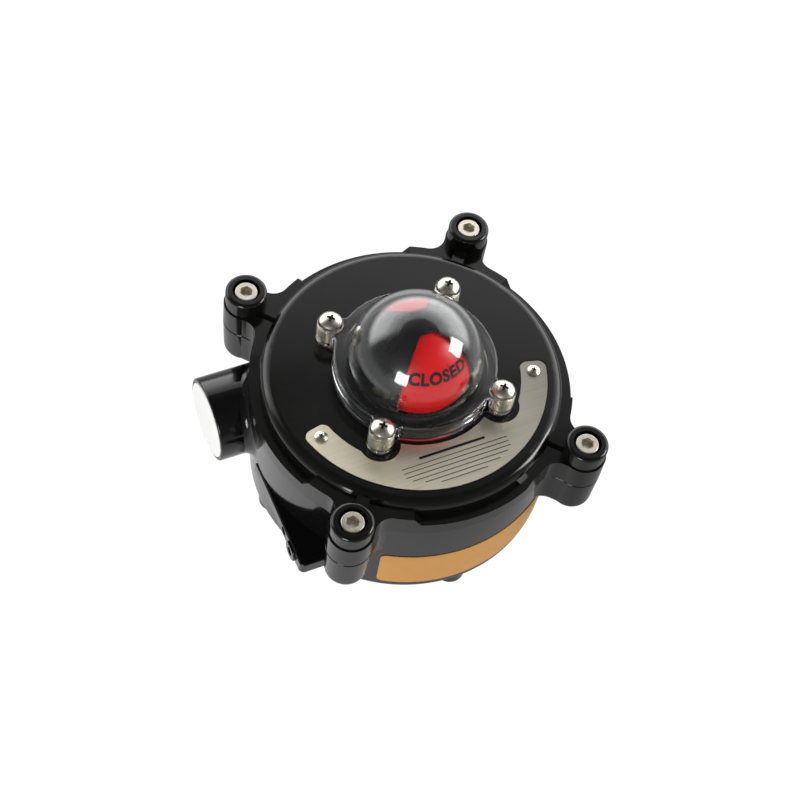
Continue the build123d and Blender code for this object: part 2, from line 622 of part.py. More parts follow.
def cover():
    plan = ear_outline(COVER_RADIUS)
    body = Pos(0, 0, JOINT) * extrude(plan, COVER_LEDGE_HEIGHT)
    body = fillet(body.edges().group_by(Axis.Z)[0], JOINT_EDGE)
    body += raised_ears(plan)
    deck = cylinder(DECK_RADIUS, JOINT, DECK_TOP)
    deck = fillet(deck.edges().group_by(Axis.Z)[-1], DECK_EDGE)
    body += deck
    for x, y in BOLT_POINTS:
        angle = math.degrees(math.atan2(y, x))
        ring = cylinder(RING_RADIUS, JOINT, RING_TOP, x, y)
        ring = fillet(ring.edges().group_by(Axis.Z)[-1], RING_EDGE)
        length = BOLT_CIRCLE - RIB_INNER_RADIUS
        rib = Box(length, RIB_WIDTH, EAR_TOP + RIB_RISE - JOINT, align=(Align.MIN, Align.CENTER, Align.MIN))
        rib = Rot(0, 0, angle) * Pos(RIB_INNER_RADIUS, 0, JOINT) * rib
        body += rib
        body += ring
    body += tube(SPIGOT_RADIUS, SPIGOT_INNER_RADIUS, JOINT - SPIGOT_LENGTH, JOINT + THROUGH)
    body -= cylinder(SPIGOT_INNER_RADIUS, JOINT - SPIGOT_LENGTH - THROUGH, CEILING)
    half_groove = SEAL_GROOVE_SHARE * SEAL_SECTION
    body -= tube(SPIGOT_RADIUS + THROUGH, SPIGOT_RADIUS - 2 * SEAL_SECTION,
                 JOINT - SEAL_DROP - half_groove, JOINT - SEAL_DROP + half_groove)
    body += cylinder(HUB_BOSS_RADIUS, COVER_BOSS_BOTTOM, CEILING + THROUGH)
    body += cylinder(TOP_BOSS_RADIUS, DECK_TOP - THROUGH, DECK_TOP + TOP_BOSS_RISE)
    body -= Pos(0, 0, DECK_TOP - PLATE_RECESS) * extrude(plate_outline(PLATE_RECESS_MARGIN), THROUGH)
    for x, y in LUG_POINTS:
        body += cylinder(DOME_SCREW_PAD_RADIUS, CEILING - DOME_SCREW_PAD_DROP, CEILING + THROUGH, x, y)
    for x, y in BOLT_POINTS:
        body -= cylinder(RING_BORE_RADIUS, HEAD_SEAT, RING_TOP + THROUGH, x, y)
        body -= cylinder(BOLT_RADIUS + BOLT_HOLE_FIT, JOINT - THROUGH, RING_TOP, x, y)
    body -= cylinder(BUSH_RADIUS, COVER_BOSS_BOTTOM - THROUGH, UPPER_BUSH_END)
    body -= cylinder(SHAFT_RADIUS + FIT, UPPER_BUSH_END - THROUGH, DECK_TOP + TOP_BOSS_RISE + THROUGH)
    tapped = [(point, DOME_SCREW_RADIUS, LUG_TOP - DOME_SCREW_LENGTH) for point in LUG_POINTS]
    tapped += [(point, PLATE_SCREW_RADIUS, DECK_TOP - PLATE_SCREW_LENGTH) for point in PLATE_SCREWS]
    for (x, y), screw, screw_end in tapped:
        body -= cylinder(screw + SCREW_FIT, screw_end - TAPPING_SPARE, DECK_TOP + THROUGH, x, y)
    return body


def cover_seal():
    return torus(SPIGOT_RADIUS - SEAL_SECTION + FIT, SEAL_SECTION - FIT / 2, JOINT - SEAL_DROP)


def cover_bolts():
    bolts = []
    for x, y in BOLT_POINTS:
        seat = HEAD_SEAT + SEAT
        head = cylinder(BOLT_HEAD_RADIUS, seat, seat + BOLT_HEAD_HEIGHT, x, y)
        head = fillet(head.edges().group_by(Axis.Z)[-1], EDGE)
        socket = extrude(Pos(x, y) * RegularPolygon(BOLT_SOCKET_RADIUS, 6), BOLT_HEAD_HEIGHT)
        head -= Pos(0, 0, seat + BOLT_HEAD_HEIGHT - BOLT_SOCKET_DEPTH) * socket
        bolts.append(head + cylinder(BOLT_RADIUS, seat - BOLT_GRIP, seat + THROUGH, x, y))
    return group(bolts)


def entry_plug():
    face = -ENTRY_REACH + ENTRY_RECESS_DEPTH - SEAT
    rim = x_cylinder(ENTRY_RECESS_RADIUS - GAP, face - PLUG_RIM_HEIGHT, face, ENTRY_Y, ENTRY_Z)
    rim = fillet(rim.edges().group_by(Axis.X)[0], EDGE)
    end = face + PLUG_LENGTH
    body = x_cylinder(ENTRY_BORE_RADIUS - FIT, face - PLUG_SKIN, end, ENTRY_Y, ENTRY_Z)
    hollow = x_cylinder(ENTRY_BORE_RADIUS - PLUG_WALL, face + PLUG_SKIN, end + THROUGH, ENTRY_Y, ENTRY_Z)
    return rim + body - hollow


# ---- Dome and indicator ----
def dome_gasket():
    plan = lug_outline(DOME_RADIUS - GASKET_LIP)
    for x, y in LUG_POINTS:
        plan -= Pos(x, y) * Circle(DOME_SCREW_RADIUS + HOLE_FIT)
    return Pos(0, 0, DECK_TOP + SEAT) * extrude(plan, GASKET_THICKNESS - 2 * SEAT)


def dome_profile(radius, base):
    """Half section of a cylinder with a round top, as a face in the XZ plane."""
    side = Line((0, base), (radius, base)) + Line((radius, base), (radius, DOME_CENTRE))
    cap = CenterArc((0, DOME_CENTRE), radius, 0, 90)
    return Plane.XZ * make_face(side + cap + Line((0, DOME_CENTRE + radius), (0, base)))


def dome_solid(radius, base):
    return revolve(dome_profile(radius, base), Axis.Z)


def indicator_dome():
    flange = Pos(0, 0, DOME_BASE) * extrude(lug_outline(DOME_RADIUS - DOME_WALL), DOME_RING_HEIGHT)
    top_rim = [e for e in flange.edges().group_by(Axis.Z)[-1]
               if math.hypot(e.center().X, e.center().Y) > DOME_RADIUS]
    flange = fillet(top_rim, DOME_RING_EDGE)
    dome = flange + dome_solid(DOME_RADIUS, DOME_BASE)
    for x, y in LUG_POINTS:
        lug = cylinder(LUG_RADIUS, DOME_BASE, LUG_TOP, x, y)
        dome += fillet(lug.edges().group_by(Axis.Z)[-1], LUG_EDGE)
    below = DOME_BASE - THROUGH
    dome -= dome_solid(DOME_RADIUS - DOME_WALL, below)
    dome -= cylinder(MASK_FLANGE_RADIUS + GAP, below, DOME_BASE + MASK_FLANGE_THICKNESS + SEAT)
    for x, y in LUG_POINTS:
        dome -= cylinder(DOME_SCREW_RADIUS + HOLE_FIT, below, LUG_TOP + THROUGH, x, y)
    return dome


def dome_screws():
    return group([pan_screw(DOME_SCREW_RADIUS, DOME_SCREW_LENGTH, DOME_SCREW_HEAD_RADIUS,
                            DOME_SCREW_HEAD_HEIGHT, LUG_TOP + SEAT, x, y) for x, y in LUG_POINTS])


def window_outline(side):
    """Plan of one window in the mask, side +1 or -1 along Y."""
    reach = 1.2 * MASK_RADIUS
    far = reach * math.tan(math.radians(WINDOW_SIDE_ANGLE))
    near = [(-WINDOW_CORNER_X, -WINDOW_INNER_Y), (WINDOW_PEAK_X, -WINDOW_INNER_Y),
            (WINDOW_STEP_X, -WINDOW_STEP_Y)]
    points = near + [(far, -reach), (-far, -reach)]
    return make_face(Polyline(*[(-side * x, -side * y) for x, y in points], close=True))


def indicator_mask():
    mask = dome_solid(MASK_RADIUS, DOME_BASE)
    mask -= dome_solid(MASK_RADIUS - MASK_WALL, DOME_BASE - THROUGH)
    mask += tube(MASK_FLANGE_RADIUS, MASK_RADIUS - MASK_WALL, DOME_BASE, DOME_BASE + MASK_FLANGE_THICKNESS)
    for side in (-1, 1):
        cut = extrude(window_outline(side), DOME_CENTRE)
        mask -= Pos(0, 0, DOME_BASE + WINDOW_BOTTOM_RISE) * cut
    return mask


def flag(middle, half_angle):
    """Quarter of the turning shell, from the carrier's disc almost to the pole."""
    base = CARRIER_TOP + SEAT
    outer, inner = FLAG_RADIUS, FLAG_RADIUS - FLAG_WALL
    tip = math.degrees(math.acos(FLAG_POLE_RADIUS / outer))
    outline = (
        Line((inner, base), (outer, base))
        + Line((outer, base), (outer, DOME_CENTRE))
        + CenterArc((0, DOME_CENTRE), outer, 0, tip)
        + Line(lifted(outer, tip), lifted(inner, tip))
        + CenterArc((0, DOME_CENTRE), inner, 0, tip)
        + Line((inner, DOME_CENTRE), (inner, base))
    )
    span = 2 * half_angle - FLAG_GAP_ANGLE
    shell = revolve(Plane.XZ * make_face(outline), Axis.Z, span)
    return Rot(0, 0, middle - span / 2) * shell


def lifted(radius, angle):
    """Point on the dome's section circle."""
    x, z = polar(radius, angle)
    return x, z + DOME_CENTRE


def closed_flags():
    return group([flag(middle, CLOSED_HALF_ANGLE) for middle in (90, 270)])


def open_flags():
    return group([flag(middle, 90 - CLOSED_HALF_ANGLE) for middle in (0, 180)])


def indicator_carrier():
    carrier = cylinder(FLAG_RADIUS, CARRIER_BASE, CARRIER_TOP)
    carrier += cylinder(CARRIER_HUB_RADIUS, CARRIER_BASE, CARRIER_HUB_TOP)
    ribs = None
    for angle in (CLOSED_HALF_ANGLE, 180 - CLOSED_HALF_ANGLE):
        height = DOME_CENTRE + FLAG_RADIUS - CARRIER_BASE
        rib = Rot(0, 0, 90 - angle) * Box(2 * FLAG_RADIUS, CARRIER_RIB, height,
                                          align=(Align.CENTER, Align.CENTER, Align.MIN))
        rib = Pos(0, 0, CARRIER_BASE) * rib
        ribs = rib if ribs is None else ribs + rib
    ribs &= dome_solid(FLAG_RADIUS - FLAG_WALL - FIT, CARRIER_BASE)
    carrier += ribs
    screw_well = INDICATOR_SCREW_HEAD_RADIUS + SCREW_WELL_MARGIN
    carrier -= cylinder(screw_well, CARRIER_HUB_TOP, DOME_CENTRE + FLAG_RADIUS)
    carrier -= cylinder(TOP_SHAFT_RADIUS + FIT, CARRIER_BASE - THROUGH, SHAFT_TOP + SEAT)
    carrier -= cylinder(INDICATOR_SCREW_RADIUS + HOLE_FIT, CARRIER_BASE, CARRIER_HUB_TOP + THROUGH)
    return carrier


def indicator_screw():
    return pan_screw(INDICATOR_SCREW_RADIUS, INDICATOR_SCREW_LENGTH, INDICATOR_SCREW_HEAD_RADIUS,
                     INDICATOR_SCREW_HEAD_HEIGHT, CARRIER_HUB_TOP + SEAT)


# ---- Shaft line ----
def spline_outline(clearance=0.0):
    """Fine-toothed spline that lets each cam be set in small steps."""
    points = []
    for tooth in range(SPLINE_TEETH):
        step = 360 / SPLINE_TEETH
        points.append(polar(SPLINE_TIP_RADIUS + clearance, tooth * step))
        points.append(polar(SPLINE_ROOT_RADIUS + clearance, (tooth + 0.5) * step))
    return make_face(Polyline(*points, close=True))


def drive_shaft():
    shaft = cylinder(STUB_RADIUS, -STUB_LENGTH, 0)
    shaft += cylinder(SHAFT_RADIUS, -SHAFT_STEP, DECK_TOP + TOP_BOSS_RISE)
    shaft += cylinder(TOP_SHAFT_RADIUS, DECK_TOP, SHAFT_TOP)
    shaft += cylinder(COLLAR_RADIUS, COLLAR_BOTTOM, COLLAR_TOP)
    shaft += Pos(0, 0, COLLAR_BOTTOM) * extrude(spline_outline(), SPLINE_TOP - COLLAR_BOTTOM)
    tang_end = -STUB_LENGTH - TANG_LENGTH
    tang = cylinder(STUB_RADIUS, tang_end, 0)
    half = TANG_THICKNESS / 2
    shaft += tang & block(-STUB_RADIUS, STUB_RADIUS, -half, half, tang_end, 0)
    outside = SHAFT_RADIUS + THROUGH
    half = SHAFT_SEAL_GROOVE_WIDTH / 2
    for z in (LOWER_SEAL_Z, UPPER_SEAL_Z):
        shaft -= tube(outside, SHAFT_RADIUS - 2 * SHAFT_SEAL_SECTION, z - half, z + half)
    clip_top = CIRCLIP_Z + CIRCLIP_THICKNESS + 2 * SEAT
    shaft -= tube(outside, CIRCLIP_GROOVE_RADIUS, CIRCLIP_Z, clip_top)
    screw_end = CARRIER_HUB_TOP - INDICATOR_SCREW_LENGTH
    tapped = INDICATOR_SCREW_RADIUS + SCREW_FIT
    return shaft - cylinder(tapped, screw_end - TAPPING_SPARE, SHAFT_TOP + THROUGH)


def shaft_seals():
    ring = SHAFT_RADIUS - SHAFT_SEAL_SECTION + FIT / 2
    return group([torus(ring, SHAFT_SEAL_SECTION - FIT / 2, z) for z in (LOWER_SEAL_Z, UPPER_SEAL_Z)])


def lower_bush():
    sleeve = cylinder(BUSH_RADIUS - SEAT, LOWER_BUSH_START + SEAT, BUSH_TOP)
    sleeve += cylinder(BUSH_FLANGE_RADIUS, HOUSING_BOSS_TOP + SEAT, BUSH_TOP)
    return sleeve - cylinder(SHAFT_RADIUS + FIT, 0, BUSH_TOP + THROUGH)


def upper_bush():
    bottom = COVER_BOSS_BOTTOM - BUSH_FLANGE_THICKNESS
    sleeve = cylinder(BUSH_RADIUS - SEAT, bottom, UPPER_BUSH_END - SEAT)
    sleeve += cylinder(BUSH_FLANGE_RADIUS, bottom, COVER_BOSS_BOTTOM - SEAT)
    return sleeve - cylinder(SHAFT_RADIUS + FIT, bottom - THROUGH, UPPER_BUSH_END + THROUGH)


def lever_tip_x(swing):
    """Where the lever's tip touches, for a swing away from the switch in degrees."""
    arm = LEVER_PIVOT_Y
    return LEVER_PIVOT_X - LEVER_STRIP / 2 - LEVER_TIP_RADIUS - arm * math.sin(math.radians(swing))


CAM_HIGH = lever_tip_x(0) - GAP
CAM_LOW = lever_tip_x(LEVER_SWING) - GAP


def cam_radius(angle, falling):
    """Cam radius that faces the lever after the shaft has turned by this angle."""
    share = min(max(angle / TRAVEL, 0), 1)
    held = -CAM_PLATEAU_ANGLE <= angle <= 0 if falling else TRAVEL <= angle <= TRAVEL + CAM_PLATEAU_ANGLE
    past = -angle - CAM_PLATEAU_ANGLE if falling else angle - TRAVEL - CAM_PLATEAU_ANGLE
    if held:
        return CAM_HIGH
    if 0 <= angle <= TRAVEL:
        return CAM_HIGH + (CAM_LOW - CAM_HIGH) * (share if falling else 1 - share)
    if 0 < past < CAM_BLEND_ANGLE:
        return CAM_HIGH + (CAM_LOW - CAM_HIGH) * past / CAM_BLEND_ANGLE
    return CAM_LOW


def cam(falling, middle_z):
    """Disc cam with a straight-line ramp over the shaft's travel."""
    points = []
    for step in range(-180, 180, CAM_STEP_ANGLE):
        points.append(polar(cam_radius(step, falling), -step))
    plan = make_face(Spline(*points, periodic=True)) - spline_outline(2 * FIT)
    return Pos(0, 0, middle_z - CAM_THICKNESS / 2 + SEAT) * extrude(plan, CAM_THICKNESS - SEAT)


def cam_spring():
    """Light spring that keeps the two cams pushed on to the spline."""
    bottom = LOWER_SWITCH_Z + CAM_THICKNESS / 2 + CAM_SPRING_WIRE
    length = UPPER_SWITCH_Z - CAM_THICKNESS / 2 - CAM_SPRING_WIRE - bottom
    radius = SPLINE_TIP_RADIUS + CAM_SPRING_FIT + CAM_SPRING_WIRE
    path = Helix(pitch=length / CAM_SPRING_TURNS, height=length, radius=radius)
    wire = sweep(Plane(path @ 0, z_dir=path % 0) * Circle(CAM_SPRING_WIRE), path=path)
    return Pos(0, 0, bottom) * wire


def cam_washer():
    return tube(WASHER_RADIUS, SHAFT_RADIUS + FIT, WASHER_Z, WASHER_Z + WASHER_THICKNESS)


def cam_circlip():
    top = CIRCLIP_Z + CIRCLIP_THICKNESS
    half = CIRCLIP_OPENING / 2
    ring = tube(CIRCLIP_RADIUS, CIRCLIP_GROOVE_RADIUS + FIT, CIRCLIP_Z + SEAT, top)
    return ring - block(0, CIRCLIP_RADIUS + THROUGH, -half, half, CIRCLIP_Z - THROUGH, top + THROUGH)


# ---- Switches ----
def switch_case(middle_z):
    """Microswitch case with two ears that carry the lever's barrel."""
    low, high = middle_z - SWITCH_THICKNESS / 2, middle_z + SWITCH_THICKNESS / 2
    case = block(SWITCH_FACE_X, SWITCH_BACK_X, SWITCH_START_Y, SWITCH_END_Y, low, high)
    case = fillet(case.edges().filter_by(Axis.Z), SWITCH_CORNER)
    reach = LEVER_BARREL_RADIUS + EAR_MARGIN
    inner = LEVER_WIDTH / 2 + GAP
    for bottom in (middle_z - inner - EAR_THICKNESS, middle_z + inner):
        case += block(LEVER_PIVOT_X - reach, SWITCH_FACE_X + EAR_MARGIN, LEVER_PIVOT_Y - reach,
                      SWITCH_END_Y - SWITCH_CORNER, bottom, bottom + EAR_THICKNESS)
    barrel_hole = cylinder(LEVER_BARREL_RADIUS + FIT, low, high, LEVER_PIVOT_X, LEVER_PIVOT_Y)
    case -= barrel_hole & block(0, SWITCH_FACE_X, 0, SWITCH_END_Y, low, high)
    for x, y in SWITCH_HOLES:
        case -= cylinder(SWITCH_HOLE_RADIUS, low - THROUGH, high + THROUGH, x, y)
    guide_end = SWITCH_FACE_X + PLUNGER_DEPTH + GAP
    return case - x_cylinder(PLUNGER_RADIUS + FIT, SWITCH_FACE_X - THROUGH, guide_end, PLUNGER_Y, middle_z)


def lever(middle_z, swing):
    """Spring-steel lever with a rounded tip, turned about its barrel towards the cam."""
    half = LEVER_WIDTH / 2
    low, high = middle_z - half, middle_z + half
    x0 = LEVER_PIVOT_X - LEVER_STRIP / 2
    strip = block(x0, x0 + LEVER_STRIP, -LEVER_TIP_RADIUS, LEVER_PIVOT_Y, low, high)
    tip = tube(LEVER_TIP_RADIUS, LEVER_TIP_RADIUS - LEVER_STRIP, low, high, x0, 0)
    tip &= block(0, x0 + FIT, -LEVER_TIP_RADIUS, LEVER_TIP_RADIUS, 0, JOINT)
    long_half = half + GAP + EAR_THICKNESS
    barrel = cylinder(LEVER_BARREL_RADIUS, middle_z - long_half, middle_z + long_half,
                      LEVER_PIVOT_X, LEVER_PIVOT_Y)
    shape = strip + tip + barrel
    turned = Rot(0, 0, -swing) * Pos(-LEVER_PIVOT_X, -LEVER_PIVOT_Y, 0) * shape
    return Pos(LEVER_PIVOT_X, LEVER_PIVOT_Y, 0) * turned


def plunger(middle_z, out):
    tip = LEVER_PIVOT_X + LEVER_STRIP / 2 + GAP - out
    pin = x_cylinder(PLUNGER_RADIUS, tip, SWITCH_FACE_X + PLUNGER_DEPTH - out, PLUNGER_Y, middle_z)
    return fillet(pin.edges().group_by(Axis.X)[0], PLUNGER_RADIUS * 0.8)


def switch_blades():
    blades = []
    half_width, half = BLADE_WIDTH / 2, BLADE_THICKNESS / 2
    for middle_z in (LOWER_SWITCH_Z, UPPER_SWITCH_Z):
        for y in BLADE_YS:
            blades.append(block(SWITCH_BACK_X, SWITCH_BACK_X + BLADE_LENGTH, y - half_width, y + half_width,
                                middle_z - half, middle_z + half))
    return group(blades)


def switch_spacers():
    bottom = LOWER_SWITCH_Z + SWITCH_THICKNESS / 2 + SEAT
    top = UPPER_SWITCH_Z - SWITCH_THICKNESS / 2 - SEAT
    return group([tube(SPACER_RADIUS, SWITCH_HOLE_RADIUS, bottom, top, x, y) for x, y in SWITCH_HOLES])


def switch_screws():
    seat = UPPER_SWITCH_Z + SWITCH_THICKNESS / 2 + SEAT
    length = seat - (BRACKET_TOP - BRACKET_THICKNESS)
    return group([pan_screw(M3_RADIUS, length, M3_HEAD_RADIUS, M3_HEAD_HEIGHT, seat, x, y)
                  for x, y in SWITCH_HOLES])


def switch_bracket():
    plate = block(SWITCH_FACE_X - BRACKET_LIP, BRACKET_BACK_X, BRACKET_FRONT_Y, BRACKET_END_Y,
                  BRACKET_TOP - BRACKET_THICKNESS + SEAT, BRACKET_TOP)
    plate = fillet(plate.edges().filter_by(Axis.Z), BRACKET_CORNER)
    for x, y in SWITCH_HOLES:
        plate -= cylinder(M3_RADIUS + SCREW_FIT, 0, JOINT, x, y)
    for x, y in BRACKET_POSTS:
        plate -= cylinder(M4_RADIUS + HOLE_FIT, 0, JOINT, x, y)
    return plate


def bracket_screws():
    return group([pan_screw(M4_RADIUS, BRACKET_SCREW_LENGTH, M4_HEAD_RADIUS, M4_HEAD_HEIGHT,
                            BRACKET_TOP + SEAT, x, y) for x, y in BRACKET_POSTS])


# ---- Terminals ----
def terminal_block():
    """Double-row block: screw wells on top, wire mouths along both sides, stepped ends."""
    half_length, half_width = BLOCK_LENGTH / 2, BLOCK_WIDTH / 2
    front, back = BLOCK_Y - half_width, BLOCK_Y + half_width
    body = block(-half_length, half_length, front, back, BLOCK_BOTTOM, BLOCK_TOP)
    for start in (-half_length - THROUGH, half_length - BLOCK_END_LENGTH):
        body -= block(start, start + BLOCK_END_LENGTH + THROUGH, front - THROUGH, back + THROUGH,
                      BLOCK_BOTTOM + BLOCK_END_HEIGHT, BLOCK_TOP + THROUGH)
    mouth_bottom = BLOCK_BOTTOM + WIRE_MOUTH_RISE
    for x in WAY_XS:
        for y in TERMINAL_ROWS:
            body -= cylinder(TERMINAL_SCREW_RADIUS + HOLE_FIT, BLOCK_TOP - TERMINAL_POCKET_DEPTH,
                             BLOCK_TOP + THROUGH, x, y)
        for start in (front - THROUGH, back - WIRE_MOUTH):
            body -= block(x - WIRE_MOUTH / 2, x + WIRE_MOUTH / 2, start, start + WIRE_MOUTH + THROUGH,
                          mouth_bottom, mouth_bottom + WIRE_MOUTH)
    for x, y in BLOCK_POSTS:
        body -= cylinder(M3_RADIUS + HOLE_FIT, BLOCK_BOTTOM - THROUGH, BLOCK_TOP + THROUGH, x, y)
    return body


def terminal_screws():
    screws = []
    bottom = BLOCK_TOP - TERMINAL_POCKET_DEPTH + SEAT
    top = BLOCK_TOP - TERMINAL_SCREW_SETBACK
    half = TERMINAL_SLOT_WIDTH / 2
    reach = TERMINAL_SCREW_RADIUS + THROUGH
    for x in WAY_XS:
        for y in TERMINAL_ROWS:
            head = cylinder(TERMINAL_SCREW_RADIUS, bottom, top, x, y)
            slot = block(x - reach, x + reach, y - half, y + half, top - TERMINAL_SLOT_DEPTH, top + THROUGH)
            screws.append(head - slot)
    return group(screws)


def block_screws():
    seat = BLOCK_BOTTOM + BLOCK_END_HEIGHT + SEAT
    return group([pan_screw(M3_RADIUS, BLOCK_SCREW_LENGTH, M3_HEAD_RADIUS, M3_HEAD_HEIGHT, seat, x, y)
                  for x, y in BLOCK_POSTS])


def earth_screw():
    seat = FLOOR_TOP + EARTH_POST_HEIGHT + SEAT
    return pan_screw(M4_RADIUS, EARTH_SCREW_LENGTH, M4_HEAD_RADIUS, M4_HEAD_HEIGHT, seat, *EARTH_POST)


def switch_leads():
    """Wires from the switch blades to the terminal block's inner side."""
    leads = []
    start_x = SWITCH_BACK_X + BLADE_LENGTH
    end_y = BLOCK_Y + BLOCK_WIDTH / 2 - WIRE_MOUTH + LEAD_RADIUS / 2
    end_z = BLOCK_BOTTOM + WIRE_MOUTH_RISE + WIRE_MOUTH / 2
    for level, middle_z in enumerate((LOWER_SWITCH_Z, UPPER_SWITCH_Z)):
        for index, y in enumerate(BLADE_YS):
            out_x = start_x + LEAD_DROP_X + LEAD_SPREAD * index
            turn_y = LEAD_DROP_Y - LEAD_SPREAD * index
            way_x = WAY_XS[BLOCK_WAYS - 2 - index - BLADE_COUNT * level]
            points = [(start_x, y, middle_z), (out_x, y, middle_z), (out_x, turn_y, middle_z),
                      (way_x, turn_y - LEAD_SPREAD, end_z), (way_x, end_y, end_z)]
            runs = [math.dist(a, b) for a, b in zip(points, points[1:])]
            radii = [min(0.45 * min(a, b), LEAD_BEND) for a, b in zip(runs, runs[1:])]
            path = FilletPolyline(*points, radius=radii)
            leads.append(sweep(Plane(path @ 0, z_dir=path % 0) * Circle(LEAD_RADIUS), path=path))
    return group(leads)


# ---- Plates and labels ----
def nameplate():
    plate = extrude(plate_outline(), PLATE_THICKNESS)
    plate = Pos(0, 0, DECK_TOP - PLATE_RECESS + SEAT) * plate
    for x, y in PLATE_SCREWS:
        plate -= cylinder(PLATE_SCREW_RADIUS + HOLE_FIT, DECK_TOP - THROUGH, DECK_TOP + THROUGH, x, y)
    return plate


def nameplate_screws():
    seat = DECK_TOP - PLATE_RECESS + PLATE_THICKNESS + 2 * SEAT
    return group([pan_screw(PLATE_SCREW_RADIUS, PLATE_SCREW_LENGTH, PLATE_SCREW_HEAD_RADIUS,
                            PLATE_SCREW_HEAD_HEIGHT, seat, x, y) for x, y in PLATE_SCREWS])


def side_label():
    low, high = wall_radius(LABEL_BOTTOM) + SEAT, wall_radius(LABEL_TOP) + SEAT
    points = [(low, LABEL_BOTTOM), (low + LABEL_THICKNESS, LABEL_BOTTOM),
              (high + LABEL_THICKNESS, LABEL_TOP), (high, LABEL_TOP)]
    label = spun(points, LABEL_END_ANGLE - LABEL_START_ANGLE, LABEL_START_ANGLE)
    corners = [e for e in label.edges() if e.length < LABEL_THICKNESS * 1.2]
    return fillet(corners, LABEL_CORNER)


PIECES = {
    "body_housing": body_housing,
    "cover": cover,
    "cover_seal": cover_seal,
    "cover_bolts": cover_bolts,
    "entry_plug": entry_plug,
    "indicator_dome": indicator_dome,
    "dome_gasket": dome_gasket,
    "dome_screws": dome_screws,
    "indicator_mask": indicator_mask,
    "indicator_carrier": indicator_carrier,
    "closed_flags": closed_flags,
    "open_flags": open_flags,
    "indicator_screw": indicator_screw,
    "drive_shaft": drive_shaft,
    "shaft_seals": shaft_seals,
    "lower_bush": lower_bush,
    "upper_bush": upper_bush,
    "cam_lower": lambda: cam(True, LOWER_SWITCH_Z),
    "cam_upper": lambda: cam(False, UPPER_SWITCH_Z),
    "cam_spring": cam_spring,
    "cam_washer": cam_washer,
    "cam_circlip": cam_circlip,
    "switch_lower": lambda: switch_case(LOWER_SWITCH_Z),
    "switch_upper": lambda: switch_case(UPPER_SWITCH_Z),
    "lever_lower": lambda: lever(LOWER_SWITCH_Z, 0),
    "lever_upper": lambda: lever(UPPER_SWITCH_Z, LEVER_SWING),
    "plunger_lower": lambda: plunger(LOWER_SWITCH_Z, 0),
    "plunger_upper": lambda: plunger(UPPER_SWITCH_Z, PLUNGER_TRAVEL),
    "switch_blades": switch_blades,
    "switch_spacers": switch_spacers,
    "switch_screws": switch_screws,
    "switch_bracket": switch_bracket,
    "bracket_screws": bracket_screws,
    "terminal_block": terminal_block,
    "terminal_screws": terminal_screws,
    "block_screws": block_screws,
    "earth_screw": earth_screw,
    "switch_leads": switch_leads,
    "nameplate": nameplate,
    "nameplate_screws": nameplate_screws,
    "side_label": side_label,
}

for name, make in PIECES.items():
    export_step(make(), f"parts/{name}.step")
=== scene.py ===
# %% [markdown]
# # Valve limit switch box
# A round die-cast box that tells a control room whether a valve is open or closed.
# The construction comes in as fixed CAD nodes: castings, dome, indicator, shaft, cams and
# switches. This notebook gives every node its finish, and adds what only the looks need: the
# printed words, the blank lines on the nameplate, the thread that shows through the clear
# lugs, and painted shade low in the screws' recesses.

# %% Load the frame
import json
import math

import bmesh
import bpy
from mathutils import Matrix, Vector


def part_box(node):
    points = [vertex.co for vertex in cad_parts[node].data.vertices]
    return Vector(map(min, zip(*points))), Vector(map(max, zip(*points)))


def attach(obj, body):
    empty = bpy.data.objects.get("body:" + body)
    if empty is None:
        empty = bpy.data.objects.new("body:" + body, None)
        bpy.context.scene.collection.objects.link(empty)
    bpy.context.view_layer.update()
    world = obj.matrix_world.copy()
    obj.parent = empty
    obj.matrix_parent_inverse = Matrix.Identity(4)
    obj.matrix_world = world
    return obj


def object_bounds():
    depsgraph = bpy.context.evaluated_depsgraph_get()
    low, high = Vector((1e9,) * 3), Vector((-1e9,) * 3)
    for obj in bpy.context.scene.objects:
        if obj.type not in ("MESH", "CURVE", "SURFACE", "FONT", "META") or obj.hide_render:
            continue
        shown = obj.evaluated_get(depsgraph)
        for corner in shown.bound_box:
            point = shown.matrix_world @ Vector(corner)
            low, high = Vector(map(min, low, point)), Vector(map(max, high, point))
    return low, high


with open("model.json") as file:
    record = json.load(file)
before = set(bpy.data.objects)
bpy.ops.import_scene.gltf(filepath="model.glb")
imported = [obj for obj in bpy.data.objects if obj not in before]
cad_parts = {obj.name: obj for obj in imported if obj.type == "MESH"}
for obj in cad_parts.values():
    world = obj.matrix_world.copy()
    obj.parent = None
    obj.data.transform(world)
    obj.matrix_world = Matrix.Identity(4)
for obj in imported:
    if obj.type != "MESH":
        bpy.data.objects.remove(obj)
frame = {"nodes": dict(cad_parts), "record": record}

nodes = frame["nodes"]
cad_low, cad_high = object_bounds()
MM = 0.001
print("nodes loaded:", len(nodes))

# %% [markdown]
# ## Reading sizes from the frame
# A place that the box of a CAD node can give is worked out from that box. What no box can
# give, such as the height of a letter, is a named value next to the piece that needs it.
# The flags' round top is part of a ball, centred on the shaft's axis. How far the flags reach
# along Y is the ball's radius. The round top stops at a small opening round the axis, so a
# right triangle from that opening's rim gives the height of the centre.

# %% Places taken from the nodes
FLAG_POLE_RADIUS = 3.0 * MM  # the flags stop this far from the shaft's axis
flag_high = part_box("closed_flags")[1]
screw_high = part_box("dome_screws")[1]
gasket_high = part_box("dome_gasket")[1]
plate_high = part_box("nameplate")[1]
FLAG_RADIUS = flag_high.y
CENTRE_Z = flag_high.z - math.sqrt(FLAG_RADIUS ** 2 - FLAG_POLE_RADIUS ** 2)
print("flag radius", round(FLAG_RADIUS / MM, 2), "centre height", round(CENTRE_Z / MM, 2))

# %% [markdown]
# ## Small helpers for node materials
# A material here is a Principled shader with a few procedural nodes in front of it.
# Noise read from Object coordinates stays put on the piece, because every piece sits at the
# origin. One helper makes the shader, and small functions add what a finish needs.

